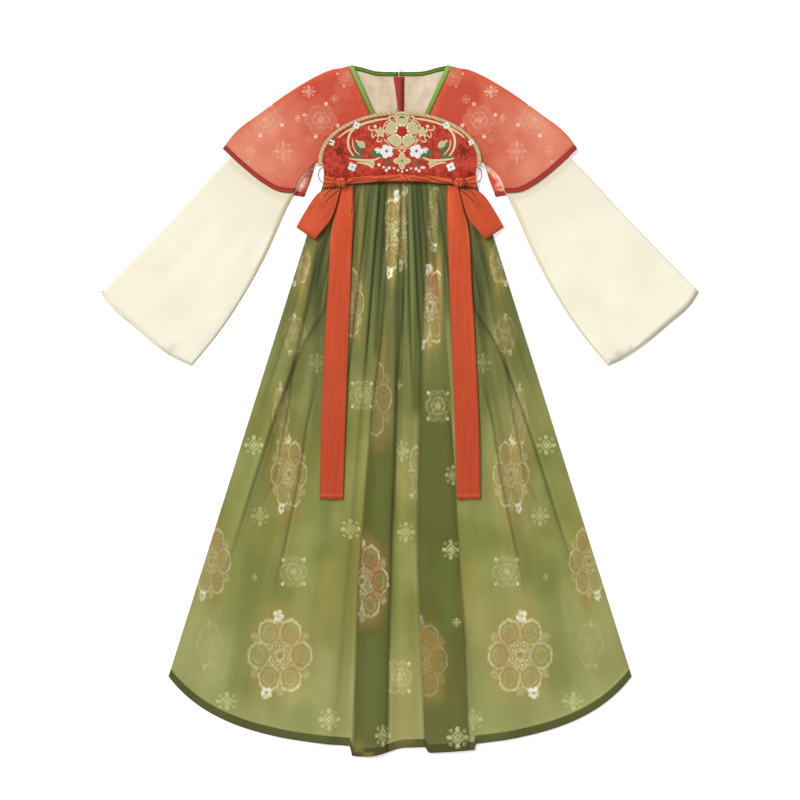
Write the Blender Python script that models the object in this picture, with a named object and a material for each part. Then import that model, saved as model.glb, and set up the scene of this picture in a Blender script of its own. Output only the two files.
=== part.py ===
"""A girl's chest-high hanfu dress, laid flat with its front up.

Metres, +Z up. The cloth lies on the plane z = 0. +Y runs towards the neck and +X to the wearer's left,
which is the right as seen from above. The origin is under the middle of the dress. Outlines are given
as (out, down): out from the centre line, down from the highest point of the neck. The dress is the same
on both sides, so each outline is written once and mirrored by the sign of its side.
"""
import math

import bmesh
import bpy
import numpy as np
from mathutils import Vector

# Driving sizes of the dress
LENGTH = 1.1070             # neck point to the lowest point of the hem
CLOTH = 0.0012              # one layer of cloth
GAP = 0.0003                # air between two layers, and at a seam
BINDING = 0.0070            # finished width of every bias binding
BINDING_THICK = 0.0024      # folded tape round the front neck, four layers
BACK_BINDING_THICK = 0.0030 # the same round the back neck, over the end of the lining
TAPE = 0.0016               # thin tape on the chiffon hem
RIBBON_THICK = 0.0016       # the sash and its ends are a turned tube of cloth, two layers

# Skirt, cut as a fan: every fold line runs towards one point above the neck
APEX = 0.2013               # that point, above the highest point
SPREAD = 0.314              # half width gained for each unit of length
WAIST = 0.1872              # waist seam, below the highest point
PANEL_DROP = 0.0155         # the doubled centre folds hang this much lower than the hem
HEM_RADIUS = LENGTH + APEX - PANEL_DROP
HEM_LIFT = 0.057            # the side seams are shorter than the middle by this
HEM_POWER = 4.5             # how late along its width the hem turns up
HEM_ALLOWANCE = 0.0130      # the turned-up hem
HEM_THICKER = 0.0008        # what the turned-up hem adds to the cloth
BACK_SHORTER = 0.006        # the back hem stays hidden under the front
GATHERS = 24
GATHER_HEIGHT = 0.0026
GATHER_FADE = 0.22          # the gathers fade over this share of the skirt's length
# Rows of the skirt front from waist to hem allowance, closest where the gathers are
SKIRT_ROWS = [0, 0.015, 0.04, 0.08, 0.14, 0.22, 0.32, 0.44, 0.57, 0.70, 0.83, 0.94]

# Bodice
YOKE_LINE = 0.150           # lower edge of the yoke, hidden under the chest panel
BODICE_HALF = 0.1200        # half width of the bodice at the waist
BODICE_PLEAT = 0.0012       # height of the small pleats above the waist seam
BODICE_PLEATS = 14
BACK_BODICE = (0.1550, 0.1215, 0.1205)  # down at its upper edge, half width there and at the waist
DOME_CENTRE = 0.1540        # the chest panel ends in half an ellipse centred here
DOME_HALF = 0.1235
DOME_RISE = 0.0735
DOME_COLUMNS = 28           # the piping shares these columns and has one more at each end
PIPING = 0.0060
LINING_FLARE = 0.0240       # the back lining widens by this below the neck
LINING_SHORTER = 0.0040     # and ends this far above the yoke line
SLIT_HALF = 0.0008          # the back opening, a little off the centre line
SLIT_OUT = -0.0020
PLACKET_TOP = (-0.0109, 0.0067, 0.0192) # both ends of its upper edge, and how far down that is
PLACKET_FOOT = (0.0056, 0.1142)         # right end of its lower edge, and how far down that is
PLACKET_TAPER = 0.0107      # its left edge has run inwards by this
PLACKET_STRAIGHT = 0.70     # from this share of its length down its left edge runs straight

# Neck: straight V edges in front, a shallow curve behind
V_TOP = (0.0750, 0.0000)
V_FOOT = (0.0077, YOKE_LINE)
BACK_NECK_DEEP = 0.0112
BACK_NECK_RISE = 0.0095
BACK_NECK_OUT = 0.0740      # the back neck edge ends here, beside the front binding
BACK_NECK_COLUMNS = 6       # the three pieces that meet at the back neck share these columns
NECK_SHARE = 0.3            # of the yoke's columns, those that lie beside the back neck
YOKE_SHARE_BACK = 0.55      # of the lower edge of a yoke, what lies before the underarm
YOKE_SHARE_FRONT = 0.5

# Shoulder and short outer sleeve, (out, down)
SHOULDER = [(0.0820, 0.0022), (0.1280, 0.0148), (0.1536, 0.0293), (0.1920, 0.0545), (0.2304, 0.0828),
            (0.2560, 0.1012), (0.2700, 0.1155), (0.2830, 0.1345)]
CAPE_HEM_FRONT = [(0.2830, 0.1345), (0.250, 0.1650), (0.221, 0.1880), (0.189, 0.2045), (0.1685, 0.2050)]
CAPE_HEM_BACK = [(0.2830, 0.1345), (0.250, 0.1650), (0.221, 0.1880), (0.189, 0.2045), (0.1530, 0.2110)]
UNDERARM_FRONT = [(0.1330, 0.1540), (0.1455, 0.1655), (0.1600, 0.1810), (0.1685, 0.2050)]
UNDERARM_BACK = [(0.1345, 0.1550), (0.1380, 0.1680), (0.1425, 0.1840), (0.1490, 0.2000), (0.1530, 0.2110)]

# Long straight inner sleeve, (out, down)
SLEEVE_TOP = [(0.1720, 0.0600), (0.2765, 0.1525), (0.3662, 0.2479), (0.4314, 0.3151), (0.4784, 0.3632)]
SLEEVE_UNDER = [(0.1345, 0.1500), (0.1456, 0.1680), (0.1744, 0.2160), (0.2160, 0.3080), (0.2496, 0.3690),
                (0.2880, 0.4270), (0.3328, 0.4816)]
CUFF = [(0.4784, 0.3632), (0.4640, 0.3870), (0.4384, 0.4080), (0.3936, 0.4465), (0.3680, 0.4655),
        (0.3328, 0.4816)]
SLEEVE_DEEP = 0.0031        # two layers and a little air
SLEEVE_PEEK = 0.0040        # the under layer shows beyond the upper one
# Soft ridges along the sleeve, as shares of its width and length: across from the upper edge, half width,
# height in metres, and where each starts and ends
SLEEVE_RIDGES = [
    {"across": 0.18, "half": 0.13, "height": 0.0016, "start": 0.30, "end": 0.95},
    {"across": 0.48, "half": 0.15, "height": 0.0022, "start": 0.40, "end": 1.05},
    {"across": 0.80, "half": 0.12, "height": 0.0020, "start": 0.20, "end": 0.75},
]
# Soft ridges down the short sleeve, with their place along it from neck to hem
CAPE_RIDGES = [
    {"along": 0.44, "half": 0.10, "height": 0.0016, "start": 0.10, "end": 1.10},
    {"along": 0.70, "half": 0.09, "height": 0.0018, "start": 0.25, "end": 1.10},
    {"along": 0.90, "half": 0.07, "height": 0.0013, "start": 0.45, "end": 1.10},
]

# Folds of the skirt front. waist and hem are the fan columns there; -1 and 1 are the side seams
SKIRT_FOLDS = [
    {"waist": -0.80, "hem": -0.86, "half": 0.050, "height": 0.0040, "start": 0.00, "end": 0.75, "lean": 0.5},
    {"waist": -0.66, "hem": -0.62, "half": 0.060, "height": 0.0034, "start": 0.10, "end": 0.95, "lean": -0.5},
    {"waist": -0.42, "hem": -0.44, "half": 0.070, "height": 0.0030, "start": 0.00, "end": 1.10, "lean": 0.3},
    {"waist": -0.28, "hem": -0.27, "half": 0.050, "height": 0.0038, "start": 0.00, "end": 1.20, "lean": 0.6},
    {"waist": 0.04, "hem": 0.03, "half": 0.050, "height": 0.0026, "start": 0.05, "end": 1.20, "lean": -0.4},
    {"waist": 0.40, "hem": 0.41, "half": 0.070, "height": 0.0032, "start": 0.00, "end": 1.15, "lean": -0.3},
    {"waist": 0.66, "hem": 0.61, "half": 0.060, "height": 0.0034, "start": 0.10, "end": 0.95, "lean": 0.5},
    {"waist": 0.80, "hem": 0.86, "half": 0.050, "height": 0.0040, "start": 0.00, "end": 0.75, "lean": -0.5},
]
# The two doubled centre folds, darker in the photograph: fan columns of both edges, height, drop at the hem
SKIRT_PANELS = [
    {"left_waist": -0.22, "left_hem": -0.190, "right_waist": -0.02, "right_hem": -0.040,
     "height": 0.0030, "drop": 1.00, "start": 0.05},
    {"left_waist": 0.26, "left_hem": 0.105, "right_waist": 0.36, "right_hem": 0.300,
     "height": 0.0028, "drop": 0.62, "start": 0.12},
]
PANEL_EDGE = 0.022          # fan width over which a doubled fold rises

# Sash, tied on both sides of the chest
KNOT = (0.0944, 0.1888)
KNOT_HALF = (0.0098, 0.0088, 0.0052)
KNOT_FLAT = 0.75            # share of its half thickness at which a knot is flat below
KNOT_WAIST = (0.14, 0.3)    # how much a knot narrows in the middle, and over what share of its length
SASH_ROLL_DOWN = (0.1872, 0.1815)   # centre of the rolled sash at a knot, and at the middle
ROLL_HALF = (0.0058, 0.0040)        # half height as seen, half thickness
ROLL_TURNS = 1.5
ROLL_LOBE = 0.10            # the twist swells and narrows the roll by this share
ROLL_TAPER = 0.12
ROLL_END = 0.0842
# The flat band from side seam to knot: out, and how far down its two edges are
SIDE_BAND = [(0.1222, 0.1770, 0.1975), (0.1035, 0.1812, 0.1955)]
STREAMER_INNER = [(0.0745, 0.1935), (0.0736, 0.2160), (0.0752, 0.2600), (0.0774, 0.3120), (0.0798, 0.3760),
                  (0.0858, 0.5360), (0.0908, 0.6944)]
STREAMER_OUTER = [(0.0925, 0.1935), (0.0976, 0.2160), (0.1088, 0.2576), (0.1140, 0.3400), (0.1248, 0.5360),
                  (0.1283, 0.6944)]
STREAMER_FOLD = 0.0018
BOW_OUTER = [(0.1065, 0.1985), (0.1245, 0.2015), (0.1500, 0.2325), (0.1660, 0.2600)]
BOW_INNER = [(0.0950, 0.1990), (0.0976, 0.2100), (0.1014, 0.2250), (0.1068, 0.2410), (0.1366, 0.2803)]
BOW_PUFF = 0.0030           # air between the two layers of a bow loop

# Thread loop at each side of the bodice
LOOP_THREAD = 0.0012
LOOP_ROUTE = [(0.1229, 0.1640, 0.0030), (0.1264, 0.1650, 0.0020), (0.1293, 0.1684, 0.0010),
              (0.1305, 0.1740, 0.0008), (0.1300, 0.1800, 0.0008), (0.1275, 0.1852, 0.0014),
              (0.1231, 0.1886, 0.0030)]
# Wire hook that closes the top of the back opening, (across, down, up)
HOOK_WIRE = 0.0009
HOOK_ROUTE = [(-0.0085, 0.0150, 0.0035), (-0.0065, 0.0105, 0.0036), (-0.0045, 0.0072, 0.0036),
              (-0.0015, 0.0062, 0.0036), (0.0015, 0.0075, 0.0036), (0.0035, 0.0115, 0.0035)]

SIDES = (("left", 1.0), ("right", -1.0))

for old in list(bpy.data.objects):
    bpy.data.objects.remove(old, do_unlink=True)

dress = bpy.data.collections.new("hanfu_dress")
bpy.context.scene.collection.children.link(dress)


def linear(hex_colour):
    """An sRGB hex colour as linear RGBA."""
    values = [int(hex_colour[i:i + 2], 16) / 255 for i in (1, 3, 5)]
    return [v / 12.92 if v <= 0.04045 else ((v + 0.055) / 1.055) ** 2.4 for v in values] + [1.0]


def finish(name, hex_colour, roughness=0.85, metallic=0.0):
    """A plain Principled material."""
    material = bpy.data.materials.new(name)
    material.use_nodes = True
    shader = material.node_tree.nodes["Principled BSDF"]
    shader.inputs["Base Color"].default_value = linear(hex_colour)
    shader.inputs["Roughness"].default_value = roughness
    shader.inputs["Metallic"].default_value = metallic
    return material


CORAL = finish("coral_chiffon", "#d95f46")
RED_BINDING = finish("red_binding", "#a82a22")
CREAM = finish("cream_sleeve", "#f5eedc")
GREEN_BINDING = finish("green_binding", "#7aa83a")
OLIVE_BINDING = finish("olive_binding", "#5d7a1e")
LINING = finish("nude_lining", "#dcc3a3")
PLACKET = finish("red_placket", "#a03025")
RED = finish("red_bodice", "#c23a28")
GOLD = finish("gold_piping", "#c9a878", 0.6)
SASH = finish("coral_ribbon", "#d4502f", 0.7)
GREEN = finish("green_chiffon", "#7f8a4c")
THREAD = finish("dark_thread", "#5a4636")
STEEL = finish("hook_wire", "#6f7064", 0.4, 1.0)


def place(out, down, side=1.0):
    """World X and Y of a point given as out and down."""
    return side * out, LENGTH / 2 - down


def smooth(value):
    """0 below 0, 1 above 1, and a soft step between."""
    value = np.clip(value, 0.0, 1.0)
    return value * value * (3.0 - 2.0 * value)


def route(points, t):
    """Point at t (0 to 1 by length) on the smooth curve through the points."""
    knots = np.asarray(points, float)
    steps = np.linalg.norm(np.diff(knots, axis=0), axis=1)
    at = np.concatenate([[0.0], np.cumsum(steps)]) / steps.sum()
    slopes = np.gradient(knots, at, axis=0)
    t = np.clip(np.asarray(t, float), 0.0, 1.0)
    i = np.clip(np.searchsorted(at, t, side="right") - 1, 0, len(at) - 2)
    span = at[i + 1] - at[i]
    w = ((t - at[i]) / span)[..., None]
    span = span[..., None]
    return ((2 * w**3 - 3 * w**2 + 1) * knots[i] + (w**3 - 2 * w**2 + w) * span * slopes[i]
            + (3 * w**2 - 2 * w**3) * knots[i + 1] + (w**3 - w**2) * span * slopes[i + 1])


def joined(first, second, share):
    """One edge from two curves: the first takes this share of the parameter."""
    def edge(t):
        t = np.asarray(t, float)
        a = route(first, t / share)
        b = route(second, (t - share) / (1.0 - share))
        return np.where((t < share)[..., None], a, b)
    return edge


def along(points):
    """An edge that follows one smooth curve."""
    return lambda t: route(points, t)


def patch(near, far, start, end):
    """A surface (u, v) -> (out, down) with four edges: v = 0, v = 1, u = 0 and u = 1."""
    def surface(u, v):
        u, v = np.broadcast_arrays(np.asarray(u, float), np.asarray(v, float))
        a, b, c, d = u[..., None], v[..., None], 1.0 - u[..., None], 1.0 - v[..., None]
        corners = (c * d * near(np.zeros_like(u)) + a * d * near(np.ones_like(u))
                   + c * b * far(np.zeros_like(u)) + a * b * far(np.ones_like(u)))
        return d * near(u) + b * far(u) + c * start(v) + a * end(v) - corners
    return surface


def share_at_end(surface, width, v):
    """Share of u that spans this width next to u = 1, at each v."""
    step = 0.04
    last = surface(np.ones_like(v), v) - surface(np.full_like(v, 1.0 - step), v)
    return width * step / np.linalg.norm(last, axis=-1)


def share_at_start(surface, width, v):
    """Share of u that spans this width next to u = 0, at each v."""
    step = 0.04
    first = surface(np.full_like(v, step), v) - surface(np.zeros_like(v), v)
    return width * step / np.linalg.norm(first, axis=-1)


def mesh_object(name, bm, material):
    """A finished mesh as one object of the dress."""
    bmesh.ops.recalc_face_normals(bm, faces=bm.faces)
    mesh = bpy.data.meshes.new(name)
    bm.to_mesh(mesh)
    bm.free()
    mesh.materials.append(material)
    obj = bpy.data.objects.new(name, mesh)
    dress.objects.link(obj)
    return obj


def lattice(columns, rows):
    """A grid in a new bmesh whose points know their column and row."""
    bm = bmesh.new()
    bmesh.ops.create_grid(bm, x_segments=columns, y_segments=rows, size=0.5)
    column = bm.verts.layers.int.new("column")
    row = bm.verts.layers.int.new("row")
    for vert in bm.verts:
        vert[column] = round((vert.co.x + 0.5) * columns)
        vert[row] = round((vert.co.y + 0.5) * rows)
    return bm, column, row


def wall(name, upper, lower, material, ring=False):
    """A closed cloth wall between two sheets of points, each [column, row] -> x, y, z."""
    bm, column, row = lattice(upper.shape[0] - 1, upper.shape[1] - 1)
    for vert in bm.verts:
        vert.co = upper[vert[column], vert[row]]
    if ring:
        bmesh.ops.remove_doubles(bm, verts=bm.verts, dist=1e-6)
    bmesh.ops.triangulate(bm, faces=bm.faces)
    grown = bmesh.ops.extrude_face_region(bm, geom=bm.faces[:], use_keep_orig=True)
    for vert in grown["geom"]:
        if isinstance(vert, bmesh.types.BMVert):
            vert.co = lower[vert[column], vert[row]]
    return mesh_object(name, bm, material)


class Relief:
    """Height of everything laid so far, on square cells over the floor."""

    cell = 0.002
    soften = 0.004

    def __init__(self):
        self.nx = int(1.1 / self.cell)
        self.ny = int(1.3 / self.cell)
        self.height = np.zeros((self.nx, self.ny))
        self.waiting = []

    def cells(self, x, y):
        i = np.clip((x / self.cell + self.nx / 2).astype(int), 0, self.nx - 1)
        j = np.clip((y / self.cell + self.ny / 2).astype(int), 0, self.ny - 1)
        return i, j

    def lay(self, x, y, z):
        """Notes the top of a new piece, which counts once settle() is called."""
        self.waiting.append((x, y, z))

    def samples(self, x, y, z, sign):
        """Points over every quad of a sheet, no lower (sign 1) or no higher (sign -1) than its facets."""
        wide = np.hypot(np.diff(x, axis=0), np.diff(y, axis=0)).max()
        tall = np.hypot(np.diff(x, axis=1), np.diff(y, axis=1)).max()
        twist = sign * np.abs(z[:-1, :-1] + z[1:, 1:] - z[1:, :-1] - z[:-1, 1:]) / 4
        for a in np.linspace(0.0, 1.0, int(wide / self.cell * 1.5) + 2):
            for b in np.linspace(0.0, 1.0, int(tall / self.cell * 1.5) + 2):
                px, py, pz = (
                    (1 - a) * (1 - b) * w[:-1, :-1] + a * (1 - b) * w[1:, :-1]
                    + (1 - a) * b * w[:-1, 1:] + a * b * w[1:, 1:]
                    for w in (x, y, z)
                )
                yield px, py, pz + twist

    def settle(self):
        """Adds the waiting pieces to the relief."""
        for sheet in self.waiting:
            for px, py, pz in self.samples(*sheet, 1):
                np.maximum.at(self.height, self.cells(px, py), pz + GAP)
        self.waiting = []

    def close(self):
        """The relief, spread by one cell only."""
        found = self.height
        for axis in (0, 1):
            found = np.maximum.reduce([np.roll(found, n, axis) for n in (-1, 0, 1)])
        return found

    def sink(self, x, y, bottom, passes):
        """Lowers an underside until it nearly touches: as a whole, then point by point for some passes."""
        ground = self.close()
        for step in range(passes + 1):
            quads = [pz - ground[self.cells(px, py)] for px, py, pz in self.samples(x, y, bottom, -1)]
            free = np.minimum.reduce(quads)
            if step == 0:
                drop = free.min()
            else:
                wide = np.pad(free, 1, mode="edge")
                drop = 0.9 * np.minimum.reduce([wide[:-1, :-1], wide[1:, :-1], wide[:-1, 1:], wide[1:, 1:]])
            bottom = bottom - np.maximum(drop, 0.0)
        return bottom

    def raised(self, reach):
        """The relief, spread sideways by reach and then softened."""
        soft = round(self.soften / self.cell)
        spread = math.ceil(reach / self.cell) + 1 + soft
        found = self.height
        for axis in (0, 1):
            found = np.maximum.reduce([np.roll(found, n, axis) for n in range(-spread, spread + 1)])
        for axis in (0, 1):
            found = np.mean([np.roll(found, n, axis) for n in range(-soft, soft + 1)], axis=0)
        return found

    def rest(self, x, y, reach):
        """Height on which points rest whose neighbours are as far away as reach, one value for each."""
        steps = np.ceil(np.broadcast_to(reach, x.shape) / self.cell)
        found = np.zeros_like(x)
        for step in np.unique(steps):
            found = np.where(steps == step, self.raised(step * self.cell)[self.cells(x, y)], found)
        return found


relief = Relief()


def reach_of(x, y):
    """For each point of a grid, the longest side or diagonal of the quads that it belongs to."""
    quad = np.maximum(np.hypot(x[1:, 1:] - x[:-1, :-1], y[1:, 1:] - y[:-1, :-1]),
                      np.hypot(x[1:, :-1] - x[:-1, 1:], y[1:, :-1] - y[:-1, 1:]))
    edge = np.pad(quad, 1, mode="edge")
    return np.maximum.reduce([edge[:-1, :-1], edge[1:, :-1], edge[:-1, 1:], edge[1:, 1:]])


def slope_of(x, y, z):
    """Steepness of a sheet across its columns."""
    run = np.hypot(np.gradient(x, axis=0), np.gradient(y, axis=0))
    return np.abs(np.gradient(z, axis=0)) / np.maximum(run, 1e-6)


def panel(name, out, down, side, material, thickness=CLOTH, lift=0.0, base=None, passes=0):
    """A piece of cloth over points (out, down), laid on what is there or at a given height."""
    x, y = place(out, down, side)
    under = relief.rest(x, y, reach_of(x, y)) if base is None else np.full_like(x, base)
    bottom = under + lift
    if base is None:
        bottom = relief.sink(x, y, bottom, passes)
    top = bottom + thickness * np.minimum(np.sqrt(1.0 + slope_of(x, y, bottom) ** 2), 1.8)
    relief.lay(x, y, top)
    return wall(name, np.stack([x, y, top], -1), np.stack([x, y, bottom], -1), material)


def ridges(table, place_key, across, lengthwise):
    """Summed height of soft ridges from a table, with each row's start and end along the length."""
    total = np.zeros_like(across)
    for row in table:
        near = np.clip(np.abs(across - row[place_key]) / row["half"], 0.0, 1.0)
        bump = 0.5 * (1.0 + np.cos(math.pi * near))
        begin = smooth((lengthwise - row["start"]) / 0.25)
        stop = smooth((row["end"] - lengthwise) / 0.25)
        total += row["height"] * bump * begin * stop
    return total


def grid(columns, rows):
    """Parameters u and v of a grid, each (columns + 1, rows + 1)."""
    return np.meshgrid(np.linspace(0, 1, columns + 1), np.linspace(0, 1, rows + 1), indexing="ij")


def fan(column, fraction, drop=0.0, shorter=0.0):
    """Skirt point for a fan column and a fraction of the way from waist to hem."""
    radius = HEM_RADIUS - HEM_LIFT * np.abs(column) ** HEM_POWER + drop - shorter
    hem = radius / np.sqrt(1.0 + (column * SPREAD) ** 2)
    below_apex = (WAIST + GAP + APEX) * (1.0 - fraction) + hem * fraction
    return column * SPREAD * below_apex, below_apex - APEX


def inside_panel(row, column, fraction):
    """How far a fan point lies inside a doubled fold, 0 to 1."""
    left = row["left_waist"] + (row["left_hem"] - row["left_waist"]) * smooth(fraction * 1.3)
    right = row["right_waist"] + (row["right_hem"] - row["right_waist"]) * smooth(fraction * 1.3)
    return smooth((column - left) / PANEL_EDGE + 0.5) * smooth((right - column) / PANEL_EDGE + 0.5)


def skirt_back():
    u, v = grid(24, 5)
    out, down = fan(2.0 * u - 1.0, v, shorter=BACK_SHORTER)
    panel("skirt_back", out, down, 1.0, GREEN, base=0.0)


def gathers(column, fraction):
    """Height of the waist gathers, strongest in the middle and fading down the skirt."""
    phase = (column + 1.0) * 0.5 * GATHERS
    wave = 0.5 - 0.5 * np.cos(2.0 * math.pi * phase)
    uneven = 0.75 + 0.25 * np.sin(2.7 * np.floor(phase) + 1.0)
    fade = np.exp(-fraction / GATHER_FADE) * (1.0 - 0.45 * np.abs(column))
    return GATHER_HEIGHT * wave * uneven * fade


def skirt_folds(column, fraction):
    """Height of the named folds, each steeper on the side that it leans to."""
    total = np.zeros_like(column)
    for row in SKIRT_FOLDS:
        centre = row["waist"] + (row["hem"] - row["waist"]) * fraction
        offset = (column - centre) / row["half"]
        steep = 1.0 + row["lean"] * np.sign(offset)
        near = np.clip(np.abs(offset) * steep, 0.0, 1.0)
        begin = smooth((fraction - row["start"]) / 0.2 + 0.4)
        stop = smooth((row["end"] - fraction) / 0.3)
        total += row["height"] * 0.5 * (1.0 + np.cos(math.pi * near)) * begin * stop
    return total


def skirt_front():
    allowance = HEM_ALLOWANCE / (HEM_RADIUS - WAIST - APEX)
    fractions = np.array(SKIRT_ROWS + [1.0 - allowance - 0.002, 1.0 - allowance, 1.0])
    column, v = np.meshgrid(np.linspace(-1, 1, 4 * GATHERS + 1), fractions, indexing="ij")
    drop = np.zeros_like(column)
    lift = gathers(column, v) + skirt_folds(column, v)
    for row in SKIRT_PANELS:
        inside = inside_panel(row, column, v)
        drop += PANEL_DROP * row["drop"] * inside
        lift += row["height"] * inside * smooth((v - row["start"]) / 0.2)
    out, down = fan(column, v, drop=drop)
    hem = np.where(v > 1.0 - allowance - 0.001, HEM_THICKER, 0.0)
    edge = smooth((1.0 - np.abs(column)) / 0.04)
    x, y = place(out, down)
    bottom = CLOTH + GAP + lift * edge
    top = bottom + hem + CLOTH * np.minimum(np.sqrt(1.0 + slope_of(x, y, bottom) ** 2), 1.8)
    relief.lay(x, y, top)
    wall("skirt_front", np.stack([x, y, top], -1), np.stack([x, y, bottom], -1), GREEN)


def back_neck(out):
    """How far the upper edge of the back neck lies below the highest point."""
    return BACK_NECK_DEEP - BACK_NECK_RISE * smooth((out - 0.032) / 0.042)


def slit_edge(side):
    """Where the cloth beside the back opening starts, measured outwards on this side."""
    return side * SLIT_OUT + SLIT_HALF


def back_neck_edge(start, t, below):
    """Point t (0 to 1) along the back neck, this far below its upper edge."""
    out = start + (BACK_NECK_OUT - start) * np.clip(t, 0.0, 1.0)
    return np.stack([out, back_neck(out) + below], -1)


def back_pieces(word, side):
    """Yoke and short sleeve of the back, with the bindings of its hem and neck."""
    start = slit_edge(side)
    corner = back_neck_edge(start, np.array(1.0), BINDING + GAP)

    def top(u):
        neck = back_neck_edge(start, u / NECK_SHARE, BINDING + GAP)
        shoulder = route([tuple(corner)] + SHOULDER, (u - NECK_SHARE) / (1.0 - NECK_SHARE))
        return np.where((u < NECK_SHARE)[..., None], neck, shoulder)

    middle = tuple(back_neck_edge(start, np.array(0.0), BINDING + GAP))
    yoke = patch(top, joined([(start, YOKE_LINE), UNDERARM_BACK[0]], UNDERARM_BACK, YOKE_SHARE_BACK),
                 along([middle, (start, YOKE_LINE)]), along(CAPE_HEM_BACK))
    columns = np.concatenate([np.linspace(0.0, NECK_SHARE, BACK_NECK_COLUMNS + 1)[:-1],
                              np.linspace(NECK_SHARE, 1.0, 9)])
    u, v = np.meshgrid(columns, np.linspace(0.0, 1.0, 10), indexing="ij")
    hem = share_at_end(yoke, BINDING + GAP, v[0])
    points = yoke(np.minimum(u, 1.0 - hem), v)
    panel("cape_back_" + word, points[..., 0], points[..., 1], side, CORAL, base=0.0)
    u, v = grid(1, 9)
    tape = share_at_end(yoke, BINDING, v[0])
    points = yoke(1.0 - tape * (1.0 - u), v)
    panel("cape_binding_back_" + word, points[..., 0], points[..., 1], side, RED_BINDING, TAPE, base=0.0)
    u, v = grid(BACK_NECK_COLUMNS, 1)
    points = back_neck_edge(start, u, BINDING * v)
    panel("neck_binding_back_" + word, points[..., 0], points[..., 1], side, OLIVE_BINDING,
          BACK_BINDING_THICK, base=0.0)


def back_bodice():
    u, v = grid(12, 1)
    edge, half_above, half_below = BACK_BODICE
    half = half_above + (half_below - half_above) * v
    top = edge + GAP
    panel("back_bodice", (2.0 * u - 1.0) * half, top + (WAIST - top) * v, 1.0, RED, base=0.0)


def back_lining(word, side):
    start = slit_edge(side)
    u, v = grid(BACK_NECK_COLUMNS, 8)
    upper = back_neck_edge(start, u, BINDING + GAP)
    out = upper[..., 0] + LINING_FLARE * u * smooth(v * 1.4)
    down = upper[..., 1] + (YOKE_LINE - LINING_SHORTER - upper[..., 1]) * v
    panel("back_lining_" + word, out, down, side, LINING, base=CLOTH + GAP)


def back_placket():
    u, v = grid(2, 6)
    left, right, top = PLACKET_TOP
    right_foot, foot = PLACKET_FOOT
    left = left + PLACKET_TAPER * np.minimum(v / PLACKET_STRAIGHT, 1.0)
    right = right + (right_foot - right) * v
    panel("back_placket", left + (right - left) * u, top + (foot - top) * v, 1.0, PLACKET,
          base=2 * (CLOTH + GAP))


def sleeve(word, side):
    """A flattened tube, its under layer a little wider and longer than the upper one."""
    surface = patch(along(SLEEVE_TOP), along(SLEEVE_UNDER),
                    along([SLEEVE_TOP[0], SLEEVE_UNDER[0]]), along(CUFF))
    columns, rows = 9, 15
    across = np.linspace(0.0, 1.0, columns + 1)
    ring = np.concatenate([across, across[::-1], across[:1]])
    upper_side = np.concatenate([np.ones(columns + 1), np.zeros(columns + 1), [1.0]])
    t = np.linspace(0.0, 1.0, rows + 1)
    a, t = np.meshgrid(ring, t, indexing="ij")
    above = np.broadcast_to(upper_side[:, None], a.shape)
    width = np.linalg.norm(surface(t[0], np.ones_like(t[0])) - surface(t[0], np.zeros_like(t[0])), axis=-1)
    length = np.linalg.norm(np.subtract(SLEEVE_TOP[-1], SLEEVE_TOP[0]))
    peek = SLEEVE_PEEK / width * above
    end = 1.0 - SLEEVE_PEEK / length * above
    centre = surface(t * end, a * (1.0 - peek))
    skin = CLOTH / width
    inset = np.clip(a * (1.0 - peek), skin, 1.0 - peek - skin)
    inner = surface(t * end, inset)
    x, y = place(centre[..., 0], centre[..., 1], side)
    floor = relief.rest(x[:columns + 1], y[:columns + 1], reach_of(x[:columns + 1], y[:columns + 1]) + 0.006)
    floor = np.concatenate([floor, floor[::-1], floor[:1]])
    lift = ridges(SLEEVE_RIDGES, "across", a, t) * np.clip(np.sin(math.pi * a) * 2.0, 0.0, 1.0) * above
    outer_z = floor + SLEEVE_DEEP * above + lift
    inner_z = outer_z + CLOTH * np.where(above > 0.5, -1.0, 1.0)
    relief.lay(x[:columns + 1], y[:columns + 1], outer_z[:columns + 1])
    ix, iy = place(inner[..., 0], inner[..., 1], side)
    wall("sleeve_" + word, np.stack([x, y, outer_z], -1), np.stack([ix, iy, inner_z], -1), CREAM, ring=True)


def cape_front(word, side):
    surface = patch(along([V_TOP] + SHOULDER),
                    joined([V_FOOT, (0.1330, 0.1540)], UNDERARM_FRONT, YOKE_SHARE_FRONT),
                    along([V_TOP, V_FOOT]), along(CAPE_HEM_FRONT))
    u, v = grid(15, 11)
    first = share_at_start(surface, BINDING + GAP, v[0])
    last = 1.0 - share_at_end(surface, BINDING + GAP, v[0])
    across = first + (last - first) * u
    points = surface(across, v)
    folds = ridges(CAPE_RIDGES, "along", across, v)
    panel("cape_front_" + word, points[..., 0], points[..., 1], side, CORAL, lift=folds)
    u, v = grid(1, 11)
    tape = share_at_end(surface, BINDING, v[0])
    across = 1.0 - tape * (1.0 - u)
    points = surface(across, v)
    panel("cape_binding_front_" + word, points[..., 0], points[..., 1], side, RED_BINDING, TAPE)
    u, v = grid(1, 11)
    points = surface(share_at_start(surface, BINDING, v[0]) * u, v)
    panel("neck_binding_front_" + word, points[..., 0], points[..., 1], side, GREEN_BINDING, BINDING_THICK)


def bodice_front():
    u, v = grid(DOME_COLUMNS, 8)
    angle = (u - 0.5) * math.pi
    top_out = DOME_HALF * np.sin(angle)
    top_down = DOME_CENTRE - DOME_RISE * np.cos(angle)
    foot_out = BODICE_HALF * np.sin(angle)
    out = foot_out + (top_out - foot_out) * v
    down = WAIST - GAP + (top_down - WAIST + GAP) * v
    wave = 0.5 - 0.5 * np.cos(2.0 * math.pi * BODICE_PLEATS * u)
    pleats = BODICE_PLEAT * wave * smooth((0.3 - v) / 0.3)
    panel("bodice_front", out, down, 1.0, RED, lift=pleats)


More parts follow.
